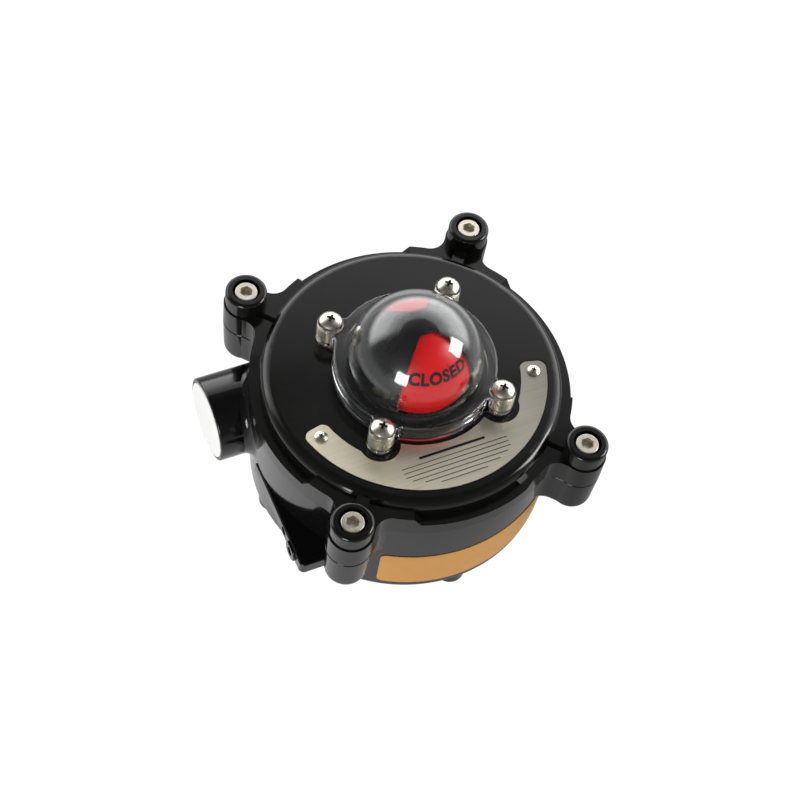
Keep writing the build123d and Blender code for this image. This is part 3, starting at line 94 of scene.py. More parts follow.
# %% Material helpers
NOISE_LOW = 0.3  # most values of a noise lie between these two
NOISE_HIGH = 0.7


def shader(name, color, roughness, metallic=0.0, **sockets):
    """New material with a Principled shader; extra sockets by name."""
    material = bpy.data.materials.new(name)
    material.use_nodes = True
    bsdf = material.node_tree.nodes["Principled BSDF"]
    bsdf.inputs["Base Color"].default_value = (*color, 1.0)
    bsdf.inputs["Roughness"].default_value = roughness
    bsdf.inputs["Metallic"].default_value = metallic
    for socket, value in sockets.items():
        bsdf.inputs[socket.replace("_", " ")].default_value = value
    return material, material.node_tree, bsdf


def object_noise(tree, scale, detail=4.0, squeeze=(1.0, 1.0, 1.0)):
    """Noise in the piece's own metres, squeezed along an axis if wanted."""
    place = tree.nodes.new("ShaderNodeTexCoord")
    mapping = tree.nodes.new("ShaderNodeMapping")
    mapping.inputs["Scale"].default_value = squeeze
    noise = tree.nodes.new("ShaderNodeTexNoise")
    noise.inputs["Scale"].default_value = scale
    noise.inputs["Detail"].default_value = detail
    tree.links.new(place.outputs["Object"], mapping.inputs["Vector"])
    tree.links.new(mapping.outputs["Vector"], noise.inputs["Vector"])
    return noise.outputs["Fac"]


def spread(tree, value, low, high):
    """Noise spread over a range of values."""
    ranger = tree.nodes.new("ShaderNodeMapRange")
    ranger.inputs["From Min"].default_value = NOISE_LOW
    ranger.inputs["From Max"].default_value = NOISE_HIGH
    ranger.inputs["To Min"].default_value = low
    ranger.inputs["To Max"].default_value = high
    tree.links.new(value, ranger.inputs["Value"])
    return ranger.outputs["Result"]


def tint(tree, value, dark, light):
    """Noise turned into a colour between two close tones."""
    ramp = tree.nodes.new("ShaderNodeValToRGB")
    ramp.color_ramp.elements[0].position = NOISE_LOW
    ramp.color_ramp.elements[1].position = NOISE_HIGH
    ramp.color_ramp.elements[0].color = (*dark, 1.0)
    ramp.color_ramp.elements[1].color = (*light, 1.0)
    tree.links.new(value, ramp.inputs["Fac"])
    return ramp.outputs["Color"]


def bump(tree, bsdf, height, strength, depth):
    """Relief under the light, depth in metres."""
    node = tree.nodes.new("ShaderNodeBump")
    node.inputs["Strength"].default_value = strength
    node.inputs["Distance"].default_value = depth
    tree.links.new(height, node.inputs["Height"])
    tree.links.new(node.outputs["Normal"], bsdf.inputs["Normal"])


# %% [markdown]
# ## Black paint on the castings
# The housing and the cover are die-cast aluminium under a gloss black coat. Up close such a
# coat has a very fine orange peel, and its gloss wanders a little from place to place.
# The cover is a touch more matt than the housing, so the two get their own paint.

# %% Paint
WANDER_SCALE = 38.0  # the gloss drifts over about 26 mm
PEEL_SCALE = 900.0  # the orange peel is about 1 mm across
PEEL_DEPTH = 0.04 * MM
LIGHTER_SHARE = 1.25  # the lighter tone of the paint, as a share of its colour


def paint(name, color, low, high, peel):
    """Gloss paint with roughness from low to high and an orange peel of strength peel."""
    material, tree, bsdf = shader(name, color, (low + high) / 2)
    drift = object_noise(tree, WANDER_SCALE, detail=3.0)
    lighter = tuple(LIGHTER_SHARE * channel for channel in color)
    tree.links.new(spread(tree, drift, low, high), bsdf.inputs["Roughness"])
    tree.links.new(tint(tree, drift, color, lighter), bsdf.inputs["Base Color"])
    bump(tree, bsdf, object_noise(tree, PEEL_SCALE, detail=2.0), peel, PEEL_DEPTH)
    return material


housing_paint = paint("housing_paint", (0.0036, 0.0036, 0.0036), 0.09, 0.14, 0.10)
cover_paint = paint("cover_paint", (0.0040, 0.0040, 0.0036), 0.11, 0.17, 0.12)
print("gloss drifts over", round(1 / WANDER_SCALE / MM), "mm, peel", round(1 / PEEL_SCALE / MM, 1), "mm")

# %% [markdown]
# ## Metals
# Small steel and brass parts are tumbled, so their gloss is uneven but has no direction. The
# shaft and its bushes are turned on a lathe: a noise squeezed thirtyfold along Z leaves fine
# marks that run round them. Both recipes could be one, but two short ones are easier to read.

# %% Metals
TUMBLED_SCALE = 420.0
TUMBLED_FINE_SCALE = 1500.0
TUMBLED_DEPTH = 0.02 * MM
MARK_SCALE = 60.0
MARK_DEPTH = 0.01 * MM
MARK_SHARE = 0.86  # the marks' darker tone, as a share of the metal's colour
ROUND_Z = (1.0, 1.0, 30.0)


def tumbled(name, color, low, high):
    """Metal with an uneven gloss, roughness from low to high."""
    material, tree, bsdf = shader(name, color, low, metallic=1.0)
    clouds = object_noise(tree, TUMBLED_SCALE, detail=5.0)
    tree.links.new(spread(tree, clouds, low, high), bsdf.inputs["Roughness"])
    bump(tree, bsdf, object_noise(tree, TUMBLED_FINE_SCALE, detail=2.0), 0.12, TUMBLED_DEPTH)
    return material


def turned(name, color, low, high):
    """Metal with a lathe's fine marks round Z, roughness from low to high."""
    material, tree, bsdf = shader(name, color, low, metallic=1.0)
    marks = object_noise(tree, MARK_SCALE, detail=6.0, squeeze=ROUND_Z)
    darker = tuple(MARK_SHARE * channel for channel in color)
    tree.links.new(spread(tree, marks, low, high), bsdf.inputs["Roughness"])
    tree.links.new(tint(tree, marks, darker, color), bsdf.inputs["Base Color"])
    bump(tree, bsdf, marks, 0.10, MARK_DEPTH)
    return material


stainless = tumbled("stainless", (0.84, 0.80, 0.68), 0.24, 0.36)
spring_steel = tumbled("spring_steel", (0.56, 0.56, 0.57), 0.20, 0.34)
shaft_steel = turned("shaft_steel", (0.60, 0.60, 0.59), 0.22, 0.36)
bush_bronze = turned("bush_bronze", (0.55, 0.34, 0.13), 0.26, 0.40)
blade_brass = tumbled("blade_brass", (0.72, 0.53, 0.22), 0.22, 0.36)
bracket_steel = tumbled("bracket_steel", (0.60, 0.62, 0.63), 0.28, 0.42)
print("lathe marks about", round(1 / (MARK_SCALE * ROUND_Z[2]) / MM, 1), "mm apart")

# %% [markdown]
# ## The nameplate
# The plate is bare sheet steel, brushed along the box's X axis. A noise squeezed sixtyfold
# along Y leaves fine lines that run along X, and they drive gloss, tone and relief alike. The
# base colour also carries a painted reflection, warm at the plate's left end and grey at its
# right, as bare steel mirrors its surroundings. A blend over X paints it, and a Multiply lays the
# brushing on top of it.

# %% Nameplate steel
# The two end tones below are a painted reflection, not the steel's own colour.
PLATE_WARM_REFLECTION = (0.98, 0.91, 0.71)
PLATE_GREY_REFLECTION = (0.30, 0.29, 0.26)
REFLECTION_WARM_END = -0.9 * plate_high.x  # the blend starts a little in from the left end
ALONG_X = (1.0, 60.0, 1.0)
BRUSHED_DARK = (0.84, 0.84, 0.84)
BRUSHED_LIGHT = (1.0, 1.0, 1.0)
plate_steel, tree, bsdf = shader("plate_steel", PLATE_WARM_REFLECTION, 0.4, metallic=1.0)
brushing = object_noise(tree, MARK_SCALE, detail=6.0, squeeze=ALONG_X)
place = tree.nodes.new("ShaderNodeTexCoord")
parts = tree.nodes.new("ShaderNodeSeparateXYZ")
along = tree.nodes.new("ShaderNodeMapRange")
along.inputs["From Min"].default_value = REFLECTION_WARM_END
along.inputs["From Max"].default_value = plate_high.x
# This blend over X paints the reflection into the plate's base colour.
reflection_tone = tree.nodes.new("ShaderNodeMix")
reflection_tone.data_type = "RGBA"
reflection_tone.inputs["A"].default_value = (*PLATE_WARM_REFLECTION, 1.0)
reflection_tone.inputs["B"].default_value = (*PLATE_GREY_REFLECTION, 1.0)
grain = tree.nodes.new("ShaderNodeMix")
grain.data_type = "RGBA"
grain.blend_type = "MULTIPLY"
grain.inputs["Factor"].default_value = 1.0
tree.links.new(place.outputs["Object"], parts.inputs["Vector"])
tree.links.new(parts.outputs["X"], along.inputs["Value"])
tree.links.new(along.outputs["Result"], reflection_tone.inputs["Factor"])
tree.links.new(reflection_tone.outputs["Result"], grain.inputs["A"])
tree.links.new(tint(tree, brushing, BRUSHED_DARK, BRUSHED_LIGHT), grain.inputs["B"])
tree.links.new(grain.outputs["Result"], bsdf.inputs["Base Color"])
tree.links.new(spread(tree, brushing, 0.36, 0.46), bsdf.inputs["Roughness"])
bump(tree, bsdf, brushing, 0.12, MARK_DEPTH)
print("plate blend from", round(REFLECTION_WARM_END / MM, 1), "to", round(plate_high.x / MM, 1))

# %% [markdown]
# ## Plastics and rubber
# Moulded plastic has a faint grain from its tool. The indicator's parts are the glossiest, so
# that they show the lamps softly under the clear dome. The label's film and the ink of the
# printed words are thin and smooth, and the same recipe serves them with other numbers.

# %% Plastics
GLOSS_SCALE = 160.0
GRAIN_SCALE = 1100.0
GRAIN_DEPTH = 0.03 * MM


def moulded(name, color, low, high, grain=0.10, **sockets):
    """Plastic or rubber with roughness from low to high and a fine grain."""
    material, tree, bsdf = shader(name, color, low, **sockets)
    clouds = object_noise(tree, GLOSS_SCALE, detail=3.0)
    tree.links.new(spread(tree, clouds, low, high), bsdf.inputs["Roughness"])
    bump(tree, bsdf, object_noise(tree, GRAIN_SCALE, detail=2.0), grain, GRAIN_DEPTH)
    return material


mask_plastic = moulded("mask_plastic", (0.006, 0.006, 0.006), 0.24, 0.34, Specular_IOR_Level=0.35)
red_plastic = moulded("red_plastic", (0.55, 0.002, 0.003), 0.26, 0.36, Specular_IOR_Level=0.3)
yellow_plastic = moulded("yellow_plastic", (0.82, 0.50, 0.012), 0.26, 0.36, Specular_IOR_Level=0.3)
seal_rubber = moulded("seal_rubber", (0.012, 0.012, 0.012), 0.55, 0.70, 0.25)
cam_plastic = moulded("cam_plastic", (0.72, 0.71, 0.66), 0.35, 0.50)
switch_plastic = moulded("switch_plastic", (0.02, 0.02, 0.021), 0.35, 0.50)
plunger_plastic = moulded("plunger_plastic", (0.45, 0.03, 0.02), 0.30, 0.42)
terminal_plastic = moulded("terminal_plastic", (0.62, 0.62, 0.57), 0.38, 0.52)
lead_plastic = moulded("lead_plastic", (0.06, 0.07, 0.30), 0.35, 0.48)
label_film = moulded("label_film", (0.62, 0.29, 0.06), 0.30, 0.42, 0.06, Specular_IOR_Level=0.35)
# This black ink also serves as the painted shade low in the screws' recesses.
ink_and_painted_shade = moulded("ink_and_painted_shade", (0.006, 0.005, 0.005), 0.40, 0.50, Specular_IOR_Level=0.2)
print("grain about", round(1 / GRAIN_SCALE / MM, 1), "mm across")

# %% [markdown]
# ## The transit plug
# The plug is white polythene, slightly waxy, with faint moulded rings round its middle. A wave
# texture in rings about X draws them, once a Mapping node has moved the pattern's centre to
# the plug's own centre. The rings drive relief only, so the white stays even.

# %% Plug plastic
RING_SCALE = 110.0
RING_DEPTH = 0.1 * MM
plug_low, plug_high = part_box("entry_plug")
plug_middle = (plug_low + plug_high) / 2
plug_plastic, tree, bsdf = shader("plug_plastic", (0.93, 0.93, 0.92), 0.44)
place = tree.nodes.new("ShaderNodeTexCoord")
centre = tree.nodes.new("ShaderNodeMapping")
centre.inputs["Location"].default_value = -plug_middle
rings = tree.nodes.new("ShaderNodeTexWave")
rings.wave_type = "RINGS"
rings.rings_direction = "X"
rings.inputs["Scale"].default_value = RING_SCALE
tree.links.new(place.outputs["Object"], centre.inputs["Vector"])
tree.links.new(centre.outputs["Vector"], rings.inputs["Vector"])
tree.links.new(spread(tree, object_noise(tree, GLOSS_SCALE), 0.38, 0.50), bsdf.inputs["Roughness"])
bump(tree, bsdf, rings.outputs["Fac"], 0.25, RING_DEPTH)
print("plug centre", [round(value / MM, 1) for value in plug_middle])

# %% [markdown]
# ## The clear dome
# Polycarbonate bends light more than window glass does, with an index of 1.585. The dome is
# modelled as a shell with two walls, so the Principled shader's transmission is all that it
# needs. Its shadow is switched off: light passes through the real one, but a path tracer
# doesn't find a lamp through a wall that bends light, and would leave the flags too dark.

# %% Clear polycarbonate
POLYCARBONATE_INDEX = 1.585
WAVINESS_SCALE = 45.0  # a moulded dome is very slightly wavy, over about 22 mm
WAVINESS_DEPTH = 0.1 * MM
clear_dome, tree, bsdf = shader("clear_dome", (0.97, 0.98, 0.98), 0.015,
                                IOR=POLYCARBONATE_INDEX, Transmission_Weight=1.0)
bump(tree, bsdf, object_noise(tree, WAVINESS_SCALE, detail=1.0), 0.05, WAVINESS_DEPTH)
nodes["indicator_dome"].visible_shadow = False
print("dome casts a shadow:", nodes["indicator_dome"].visible_shadow)

# %% [markdown]
# ## Dressing the nodes
# The record names a material slot for each node. The finishes above are listed here by those
# slots, so a loop over the record dresses the whole assembly at once.

# %% Give every node its finish
finishes = dict(
    housing_paint=housing_paint, cover_paint=cover_paint, seal_rubber=seal_rubber,
    stainless=stainless, plug_plastic=plug_plastic, clear_dome=clear_dome,
    mask_plastic=mask_plastic, red_plastic=red_plastic, yellow_plastic=yellow_plastic,
    shaft_steel=shaft_steel, bush_bronze=bush_bronze, cam_plastic=cam_plastic,
    spring_steel=spring_steel, switch_plastic=switch_plastic, plunger_plastic=plunger_plastic,
    blade_brass=blade_brass, bracket_steel=bracket_steel, terminal_plastic=terminal_plastic,
    lead_plastic=lead_plastic, plate_steel=plate_steel, label_film=label_film)
for subpart in frame["record"]["subparts"]:
    mesh = nodes[subpart["node"]].data
    mesh.materials.clear()
    mesh.materials.append(finishes[subpart["material_slot"]])
print("finishes used:", len(finishes))

# %% [markdown]
# ## A helper for new pieces
# A new piece is a mesh at the origin. It rides on a CAD body, so it moves with that body's
# joint. Its finish is the material it is given.


# %% Piece helpers
def piece(name, mesh, material, body):
    """New object from a mesh, dressed and carried by a CAD body."""
    obj = bpy.data.objects.new(name, mesh)
    bpy.context.scene.collection.objects.link(obj)
    mesh.materials.clear()
    mesh.materials.append(material)
    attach(obj, body)
    print(name, "faces:", len(mesh.polygons))
    return obj


def mesh_from(bm, name):
    """Turns a finished bmesh into a mesh."""
    mesh = bpy.data.meshes.new(name)
    bm.to_mesh(mesh)
    bm.free()
    return mesh


# %% [markdown]
# ## The words on the indicator
# CLOSED is printed in black on the red flags and OPEN on the yellow ones. An image could carry
# the words, but letters from the built-in font stay sharp at any distance. They start as a
# text curve with a little thickness, which becomes a closed mesh and is scaled to its size.

# %% Flat letters
INK_THICKNESS = 0.06 * MM
LETTER_HEIGHT = 5.8 * MM
LETTER_SPACING = 1.08
CURVE_STEPS = 6
# The next three are in the font's own units, where the font's size is 1.
LETTER_BOLDNESS = 0.045
HALF_THICKNESS = 0.01
SAME_POINT = 1e-5


def flat_word(word, width):
    """The word as a thin closed mesh, centred on X, with its feet on Y = 0."""
    curve = bpy.data.curves.new(word, "FONT")
    curve.body = word
    curve.size = 1.0
    curve.offset = LETTER_BOLDNESS
    curve.space_character = LETTER_SPACING
    curve.extrude = HALF_THICKNESS
    curve.resolution_u = CURVE_STEPS
    letters = bpy.data.objects.new(word, curve)
    bpy.context.scene.collection.objects.link(letters)
    bpy.context.view_layer.update()
    bm = bmesh.new()
    bm.from_mesh(letters.evaluated_get(bpy.context.evaluated_depsgraph_get()).to_mesh())
    bpy.data.objects.remove(letters)
    bmesh.ops.remove_doubles(bm, verts=bm.verts, dist=SAME_POINT)
    low = Vector([min(v.co[i] for v in bm.verts) for i in range(3)])
    high = Vector([max(v.co[i] for v in bm.verts) for i in range(3)])
    scale = Vector((width / (high.x - low.x), LETTER_HEIGHT / (high.y - low.y),
                    INK_THICKNESS / (high.z - low.z)))
    middle = Vector(((low.x + high.x) / 2, low.y, low.z))
    bmesh.ops.translate(bm, verts=bm.verts, vec=-middle)
    bmesh.ops.scale(bm, verts=bm.verts, vec=scale)
    return bm


print("letters", LETTER_HEIGHT / MM, "mm high and", INK_THICKNESS / MM, "mm thick")

# %% [markdown]
# ## Bending letters round a ball
# A letter's long straight face can't bend, so bisect_plane first cuts it every millimetre.
# Then each vertex is moved on to the flag: across the letter becomes longitude, up the letter
# becomes latitude, and through its thickness becomes distance from the centre.

# %% Cut and bend
CUT_STEP = 1.0 * MM
ON_THE_CUT = 1e-7
INK_LIFT = 0.03 * MM
BASE_LATITUDE = math.radians(26.8)


def grid_cut(bm, width):
    """Cuts along X and Y so that the flat letters can follow a round surface."""
    columns = int(width / 2 / CUT_STEP)
    rows = int(LETTER_HEIGHT / CUT_STEP)
    cuts = [((x * CUT_STEP, 0, 0), (1, 0, 0)) for x in range(-columns, columns + 1)]
    cuts += [((0, y * CUT_STEP, 0), (0, 1, 0)) for y in range(1, rows + 1)]
    for point, normal in cuts:
        everything = bm.verts[:] + bm.edges[:] + bm.faces[:]
        bmesh.ops.bisect_plane(bm, geom=everything, dist=ON_THE_CUT, plane_co=point, plane_no=normal)


def wrap_on_flag(bm, azimuth):
    """Bends the flat letters round the flag's round top, facing an azimuth in degrees."""
    radius = FLAG_RADIUS + INK_LIFT
    middle_latitude = BASE_LATITUDE + LETTER_HEIGHT / radius / 2
    for vert in bm.verts:
        latitude = BASE_LATITUDE + vert.co.y / radius
        longitude = math.radians(azimuth) + vert.co.x / (radius * math.cos(middle_latitude))
        reach = radius + vert.co.z
        vert.co = Vector((reach * math.cos(latitude) * math.cos(longitude),
                          reach * math.cos(latitude) * math.sin(longitude),
                          CENTRE_Z + reach * math.sin(latitude)))


print("words start at latitude", round(math.degrees(BASE_LATITUDE), 1))

# %% [markdown]
# ## Printing the four words
# The two red flags face opposite ways, and so do the two yellow ones, a quarter turn further.
# Each word is its own piece on the shaft's body, so it turns with its flag.


# %% Printed words
def print_word(word, width, azimuth, name):
    """One word on one flag, as a piece on the shaft."""
    bm = flat_word(word, width)
    grid_cut(bm, width)
    wrap_on_flag(bm, azimuth)
    bmesh.ops.recalc_face_normals(bm, faces=bm.faces)
    return piece(name, mesh_from(bm, name), ink_and_painted_shade, "shaft")


CLOSED_WIDTH = 26.0 * MM
OPEN_WIDTH = 19.0 * MM
for word, width, azimuths in (("CLOSED", CLOSED_WIDTH, (-90, 90)), ("OPEN", OPEN_WIDTH, (0, 180))):
    for index, azimuth in enumerate(azimuths):
        print_word(word, width, azimuth, f"{word.lower()}_print_{index + 1}")

# %% [markdown]
# ## Blank lines on the nameplate
# The plate carries a title bar and empty ruled lines, where a maker's data would stand. The
# lines run along X. Each one ends short of the plate's round edge, and the longer ones stop at
# a set length. A bar is one face, extruded up by the thickness of the ink.

# %% Ruled lines
PLATE_REACH = plate_high.x  # half the plate's length, close to the radius of its outer edge
LINE_MARGIN = 3.2 * MM
LINE_WIDTH = 0.30 * MM
LINE_PITCH = 2.1 * MM
LINE_COUNT = 6
LONGEST_HALF_LINE = 24.0 * MM
FIRST_LINE_Y = -43.0 * MM
TITLE_WIDTH = 1.1 * MM
TITLE_HALF_LENGTH = 15.0 * MM
TITLE_RISE = 1.3 * LINE_PITCH  # from the first line up to the title bar


def raise_face(bm, face, height):
    """Closed block: the face stays as its floor, and a copy is lifted to be its top."""
    raised = bmesh.ops.extrude_face_region(bm, geom=[face], use_keep_orig=True)
    tops = [v for v in raised["geom"] if isinstance(v, bmesh.types.BMVert)]
    bmesh.ops.translate(bm, verts=tops, vec=(0, 0, height))


def ink_bar(bm, half_length, y, width):
    """Flat bar of ink on the plate, centred on X = 0."""
    z = plate_high.z + INK_LIFT
    corners = [(-half_length, y - width / 2, z), (half_length, y - width / 2, z),
               (half_length, y + width / 2, z), (-half_length, y + width / 2, z)]
    face = bm.faces.new([bm.verts.new(corner) for corner in corners])
    raise_face(bm, face, INK_THICKNESS)


ruling = bmesh.new()
ink_bar(ruling, TITLE_HALF_LENGTH, FIRST_LINE_Y + TITLE_RISE, TITLE_WIDTH)
for number in range(LINE_COUNT):
    line_y = FIRST_LINE_Y - number * LINE_PITCH
    chord = math.sqrt(PLATE_REACH ** 2 - line_y ** 2)
    ink_bar(ruling, min(chord - LINE_MARGIN, LONGEST_HALF_LINE), line_y, LINE_WIDTH)
bmesh.ops.recalc_face_normals(ruling, faces=ruling.faces)
piece("nameplate_print", mesh_from(ruling, "nameplate_print"), ink_and_painted_shade, "housing")

# %% [markdown]
# ## Threads behind clear plastic
# The dome's screws pass through clear lugs, so their threads show as stacked bright rings.
# A thread is a triangle carried round a helix. The spin operator does that when it is given a
# lift for each step. It keeps the first triangle and the last one as the ridge's two ends, so
# the mesh is closed. The ridge is taller and coarser than a real thread, so that it shows in
# the lug.

# %% Screw threads in the lugs
THREAD_PITCH = 1.25 * MM
THREAD_ROOT = 2.45 * MM
THREAD_CREST = 3.35 * MM
RIDGE_WIDTH = 0.84 * THREAD_PITCH
STEPS_PER_TURN = 28
SCREW_HEAD_RADIUS = 4.7 * MM
SCREW_HEAD_HEIGHT = 3.6 * MM
screw_x = screw_high.x - SCREW_HEAD_RADIUS
screw_y = screw_high.y - SCREW_HEAD_RADIUS
SCREW_PLACES = [(sx * screw_x, sy * screw_y) for sx in (-1, 1) for sy in (-1, 1)]


def thread(bm, x, y, bottom, top):
    """Helical ridge round a screw's shank."""
    turns = int((top - bottom) / THREAD_PITCH) - 1
    corners = [(THREAD_ROOT, 0.0), (THREAD_CREST, RIDGE_WIDTH / 2), (THREAD_ROOT, RIDGE_WIDTH)]
    verts = [bm.verts.new((x + r, y, bottom + z)) for r, z in corners]
    face = bm.faces.new(verts)
    bmesh.ops.spin(
        bm, geom=[face, *face.edges, *face.verts], cent=(x, y, 0), axis=(0, 0, 1),
        dvec=(0, 0, THREAD_PITCH / STEPS_PER_TURN), angle=math.tau * turns,
        steps=STEPS_PER_TURN * turns, use_duplicate=False)


threads = bmesh.new()
for x, y in SCREW_PLACES:
    thread(threads, x, y, gasket_high.z, screw_high.z - SCREW_HEAD_HEIGHT)
bmesh.ops.recalc_face_normals(threads, faces=threads.faces)
piece("dome_screw_threads", mesh_from(threads, "dome_screw_threads"), stainless, "housing")

# %% [markdown]
# ## Painted shade in the cross recesses
# Little light reaches the bottom of a driver's recess, so it reads as a dark cross on the bright
# head. The recess itself is in the CAD screw. A black cross a little smaller than the recess
# fills its lower part here, as painted shade. Twelve corners make the outline, and an
# extrusion gives it height.

# %% Painted shade in the recesses
ARM_SHARE = 0.38  # half the length of a recess's arm, as a share of the head's radius
ARM_HALF_WIDTH_SHARE = 0.112
ARM_TURN = 45  # the recess's arms stand at 45 degrees to X
DOME_SHADE_DEPTH = 2.15 * MM  # from the head's top to the painted shade's underside
DOME_SHADE_HEIGHT = 1.3 * MM
PLATE_SCREW_HEAD_RADIUS = 2.7 * MM
PLATE_SHADE_DEPTH = 0.94 * MM
PLATE_SHADE_HEIGHT = 0.5 * MM


def recess_shade(bm, x, y, head_radius, bottom, height):
    """Cross-shaped painted shade in the lower part of one recess."""
    arm, half = ARM_SHARE * head_radius, ARM_HALF_WIDTH_SHARE * head_radius
    quarter = [Vector((half, half, 0)), Vector((half, arm, 0)), Vector((-half, arm, 0))]
    corners = [Matrix.Rotation(math.radians(ARM_TURN + 90 * turn), 3, "Z") @ corner
               for turn in range(4) for corner in quarter]
    face = bm.faces.new([bm.verts.new(corner + Vector((x, y, bottom))) for corner in corners])
    raise_face(bm, face, height)


plate_screw_low, plate_screw_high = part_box("nameplate_screws")
left_x = plate_screw_low.x + PLATE_SCREW_HEAD_RADIUS
left_y = plate_screw_high.y - PLATE_SCREW_HEAD_RADIUS
right_x = plate_screw_high.x - PLATE_SCREW_HEAD_RADIUS
right_y = plate_screw_low.y + PLATE_SCREW_HEAD_RADIUS
# Black crosses of painted shade, low in the six recesses.
shade_crosses = bmesh.new()
for x, y in SCREW_PLACES:
    recess_shade(shade_crosses, x, y, SCREW_HEAD_RADIUS, screw_high.z - DOME_SHADE_DEPTH, DOME_SHADE_HEIGHT)
for x, y in ((left_x, left_y), (right_x, right_y)):
    recess_shade(shade_crosses, x, y, PLATE_SCREW_HEAD_RADIUS,
                plate_screw_high.z - PLATE_SHADE_DEPTH, PLATE_SHADE_HEIGHT)
bmesh.ops.recalc_face_normals(shade_crosses, faces=shade_crosses.faces)
piece("recess_shade", mesh_from(shade_crosses, "recess_shade"), ink_and_painted_shade, "housing")

# %% [markdown]
# ## The floor
# The box stands on a plain white floor, at the level of the lowest point of the assembly. It
# is six metres wide, so that its edge is far off.

# %% Floor mesh
FLOOR_SIZE = 6.0  # metres
floor_bm = bmesh.new()
bmesh.ops.create_grid(floor_bm, x_segments=4, y_segments=4, size=FLOOR_SIZE / 2)
bmesh.ops.translate(floor_bm, verts=floor_bm.verts, vec=(0, 0, cad_low.z))
floor = bpy.data.objects.new("floor", mesh_from(floor_bm, "floor"))
bpy.context.scene.collection.objects.link(floor)
print("floor at", round(cad_low.z / MM, 1), "mm")

# %% [markdown]
# ## Which rays see the studio
# A studio can look bright without lighting the object brightly. Light Path tells which kind
# of ray is asking: rays from the camera, off gloss and through clear plastic see the studio
# as it looks. All other rays, which carry light to the surfaces, get a plainer answer.


# %% Seen rays
def seen_rays(tree):
    """The Light Path node, and 1 for camera, glossy and transmission rays, 0 for the rest."""
    path = tree.nodes.new("ShaderNodeLightPath")
    first = tree.nodes.new("ShaderNodeMath")
    second = tree.nodes.new("ShaderNodeMath")
    first.operation = second.operation = "MAXIMUM"
    tree.links.new(path.outputs["Is Camera Ray"], first.inputs[0])
    tree.links.new(path.outputs["Is Glossy Ray"], first.inputs[1])
    tree.links.new(first.outputs[0], second.inputs[0])
    tree.links.new(path.outputs["Is Transmission Ray"], second.inputs[1])
    return path, second.outputs[0]


# %% [markdown]
# ## The floor's material
# To the camera the floor glows white, which keeps the backdrop clean, and a small share of it
# stays plain paint, which takes the box's shadow. Reflections see it too, and a floor that
# glows evenly would wash out the black walls. So to them it is bright in a round patch left of
# the box and falls to a dim grey further out.

# %% Floor material
GLOW_SHARE = 0.88  # the rest of the floor is plain paint
CAMERA_GLOW = 1.12
PATCH_GLOW = 0.95
FAR_GLOW = 0.36
PATCH_CENTRE = (-0.15, -0.01, cad_low.z)  # the patch is given in metres
PATCH_INNER = 0.06
PATCH_OUTER = 0.21
floor_material, tree, bsdf = shader("floor_white", (0.9, 0.9, 0.9), 0.9)
glow = tree.nodes.new("ShaderNodeEmission")
share = tree.nodes.new("ShaderNodeMath")
share.operation = "MULTIPLY"
share.inputs[1].default_value = GLOW_SHARE
mixer = tree.nodes.new("ShaderNodeMixShader")
path, seen = seen_rays(tree)
place = tree.nodes.new("ShaderNodeTexCoord")
reach = tree.nodes.new("ShaderNodeVectorMath")
reach.operation = "DISTANCE"
reach.inputs[1].default_value = PATCH_CENTRE
tree.links.new(place.outputs["Object"], reach.inputs[0])
fade = tree.nodes.new("ShaderNodeMapRange")
fade.inputs["From Min"].default_value = PATCH_INNER
fade.inputs["From Max"].default_value = PATCH_OUTER
fade.inputs["To Min"].default_value = PATCH_GLOW
fade.inputs["To Max"].default_value = FAR_GLOW
tree.links.new(reach.outputs["Value"], fade.inputs["Value"])
strength = tree.nodes.new("ShaderNodeMix")
strength.inputs["B"].default_value = CAMERA_GLOW
tree.links.new(fade.outputs["Result"], strength.inputs["A"])
tree.links.new(path.outputs["Is Camera Ray"], strength.inputs["Factor"])
tree.links.new(strength.outputs["Result"], glow.inputs["Strength"])
tree.links.new(seen, share.inputs[0])
tree.links.new(share.outputs[0], mixer.inputs["Fac"])
tree.links.new(bsdf.outputs["BSDF"], mixer.inputs[1])
tree.links.new(glow.outputs["Emission"], mixer.inputs[2])
tree.links.new(mixer.outputs["Shader"], tree.nodes["Material Output"].inputs["Surface"])
floor.data.materials.append(floor_material)
print("glow in reflections, near and far:", PATCH_GLOW, FAR_GLOW)

# %% [markdown]
# ## The room in the reflections
# Gloss black shows nothing but its surroundings. This studio has one bright wall behind the
# box, dim sides and a dark ceiling. Each is a ramp of greys over the height of a ray's
# direction, where 0 is the horizon and 1 is straight up. Which of the two a ray sees depends
# on how far it points toward the bright wall.

# %% Wall and sides
BRIGHT_WALL = ((0.0, 0.4), (0.12, 1.0), (0.5, 0.9), (0.74, 0.36), (0.81, 0.33), (0.835, 0.05), (1.0, 0.02))
DIM_SIDES = ((0.0, 0.12), (0.12, 0.06), (0.6, 0.04), (1.0, 0.02))
WALL_AZIMUTH = math.radians(68)
WALL_EDGE = (0.12, 0.34)  # cosine of the angle to the wall where it starts and where it is full
NEW_STOP = 0.5
world = bpy.data.worlds.new("studio")
bpy.context.scene.world = world
world.use_nodes = True
tree = world.node_tree
direction = tree.nodes.new("ShaderNodeTexCoord")
parts = tree.nodes.new("ShaderNodeSeparateXYZ")
tree.links.new(direction.outputs["Generated"], parts.inputs["Vector"])


def height_ramp(stops):
    """Grey levels over the height of a direction."""
    ramp = tree.nodes.new("ShaderNodeValToRGB")
    tree.links.new(parts.outputs["Z"], ramp.inputs["Fac"])
    while len(ramp.color_ramp.elements) < len(stops):
        ramp.color_ramp.elements.new(NEW_STOP)
    for element, (position, grey) in zip(ramp.color_ramp.elements, stops):
        element.position = position
        element.color = (grey, grey, grey, 1.0)
    return ramp.outputs["Color"]


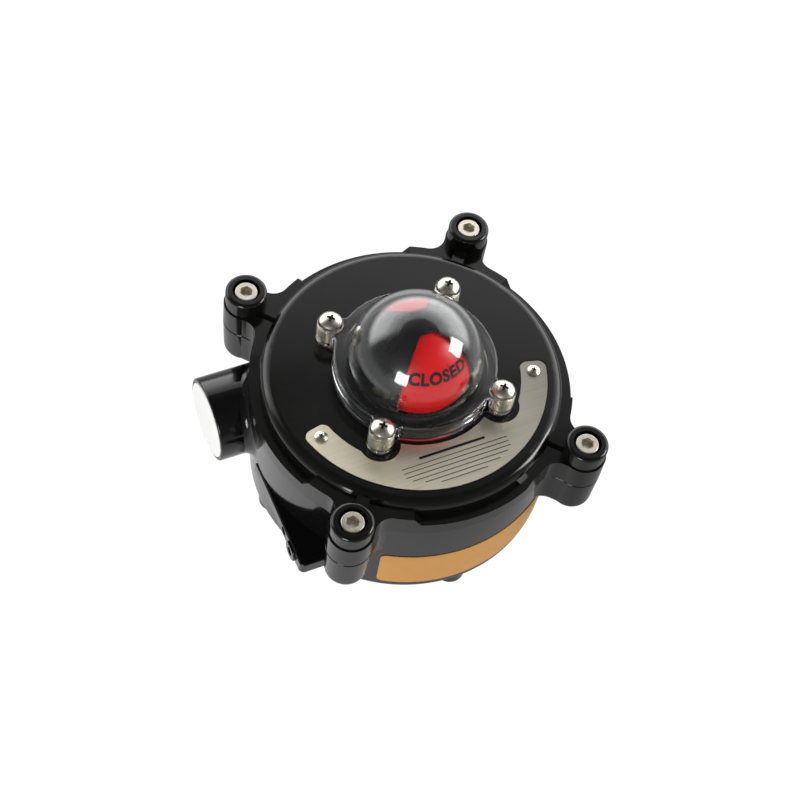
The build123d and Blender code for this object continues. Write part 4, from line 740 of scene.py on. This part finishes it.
bright_wall = height_ramp(BRIGHT_WALL)
dim_sides = height_ramp(DIM_SIDES)
facing = tree.nodes.new("ShaderNodeVectorMath")
facing.operation = "DOT_PRODUCT"
facing.inputs[1].default_value = (math.cos(WALL_AZIMUTH), math.sin(WALL_AZIMUTH), 0.0)
tree.links.new(direction.outputs["Generated"], facing.inputs[0])
wall_share = tree.nodes.new("ShaderNodeMapRange")
wall_share.inputs["From Min"].default_value, wall_share.inputs["From Max"].default_value = WALL_EDGE
tree.links.new(facing.outputs["Value"], wall_share.inputs["Value"])
surround = tree.nodes.new("ShaderNodeMix")
surround.data_type = "RGBA"
tree.links.new(wall_share.outputs["Result"], surround.inputs["Factor"])
tree.links.new(dim_sides, surround.inputs["A"])
tree.links.new(bright_wall, surround.inputs["B"])
print("stops in the ramps:", len(BRIGHT_WALL), len(DIM_SIDES))

# %% [markdown]
# ## What each ray gets from the room
# Reflections and clear plastic get the wall and the sides, made three times brighter. The
# camera gets plain white above the floor's edge. Every other ray gets one even grey, so that
# the room lights the box softly from all round.

# %% World
ROOM_GREY = (0.34, 0.34, 0.34, 1.0)
PLAIN_WHITE = (1.0, 1.0, 1.0, 1.0)
ROOM_GAIN = 3.0
gain = tree.nodes.new("ShaderNodeVectorMath")
gain.operation = "SCALE"
gain.inputs["Scale"].default_value = ROOM_GAIN
tree.links.new(surround.outputs["Result"], gain.inputs[0])
path, seen = seen_rays(tree)
room = tree.nodes.new("ShaderNodeMix")
room.data_type = "RGBA"
room.inputs["A"].default_value = ROOM_GREY
tree.links.new(seen, room.inputs["Factor"])
tree.links.new(gain.outputs["Vector"], room.inputs["B"])
backdrop = tree.nodes.new("ShaderNodeMix")
backdrop.data_type = "RGBA"
backdrop.inputs["B"].default_value = PLAIN_WHITE
tree.links.new(path.outputs["Is Camera Ray"], backdrop.inputs["Factor"])
tree.links.new(room.outputs["Result"], backdrop.inputs["A"])
tree.links.new(backdrop.outputs["Result"], tree.nodes["Background"].inputs["Color"])
print("even light:", ROOM_GREY[0])

# %% [markdown]
# ## Lamps
# Two square soft boxes stand left and right of the box, and each mirrors as a bright square on
# the dome. Their places decide where those squares sit, so each is given as a direction from
# the dome's centre and a distance. A third box fills the left side, and is hidden from gloss
# and from clear plastic, so that it adds no third square.

# %% Soft boxes
LAMP_DISTANCE = 1.3  # metres
LEFT_BOX = dict(direction=(-0.735, -0.649, 0.195), size=0.46, power=6.5)
RIGHT_BOX = dict(direction=(0.817, -0.339, 0.466), size=0.52, power=9.5)
SIDE_FILL = dict(direction=(-0.95, 0.12, 0.30), size=0.6, power=5.0)


def soft_box(name, direction, size, power):
    """Square lamp that faces the dome's centre; size in metres, power in watts."""
    lamp = bpy.data.lights.new(name, "AREA")
    lamp.shape = "RECTANGLE"
    lamp.size = lamp.size_y = size
    lamp.energy = power
    holder = bpy.data.objects.new(name, lamp)
    bpy.context.scene.collection.objects.link(holder)
    toward = Vector(direction).normalized()
    holder.location = Vector((0, 0, CENTRE_Z)) + toward * LAMP_DISTANCE
    holder.rotation_euler = toward.to_track_quat("Z", "Y").to_euler()
    return holder


soft_box("left_box", **LEFT_BOX)
soft_box("right_box", **RIGHT_BOX)
side_fill = soft_box("side_fill", **SIDE_FILL)
side_fill.visible_glossy = False
side_fill.visible_transmission = False
print("lamps:", len(bpy.data.lights))

# %% [markdown]
# ## Camera
# The camera looks down on the box from the front left, about 57 degrees above the floor, and
# is turned a little about its own axis. Its three axes make the columns of a matrix: to the
# side, up, and back toward the one who looks.

# %% Camera
CAMERA_PLACE = Vector((-220.7, -334.7, 675.3)) * MM
CAMERA_BACK = Vector((-0.2935, -0.4528, 0.8419))
CAMERA_ROLL = math.radians(11.19)
CAMERA_LENS = 76.4  # focal length and sensor width in millimetres
CAMERA_SENSOR = 36.0
camera_data = bpy.data.cameras.new("camera")
camera_data.lens = CAMERA_LENS
camera_data.sensor_width = CAMERA_SENSOR
camera = bpy.data.objects.new("camera", camera_data)
bpy.context.scene.collection.objects.link(camera)
back = CAMERA_BACK.normalized()
level = Vector((-back.y, back.x, 0)).normalized()
upright = back.cross(level)
side = math.cos(CAMERA_ROLL) * level + math.sin(CAMERA_ROLL) * upright
top = math.cos(CAMERA_ROLL) * upright - math.sin(CAMERA_ROLL) * level
turn = Matrix((side, top, back)).transposed().to_4x4()
camera.matrix_world = Matrix.Translation(CAMERA_PLACE) @ turn
bpy.context.scene.camera = camera
bpy.context.scene.view_settings.view_transform = "Standard"
print("camera", round(math.degrees(math.asin(back.z)), 1), "degrees above the floor")
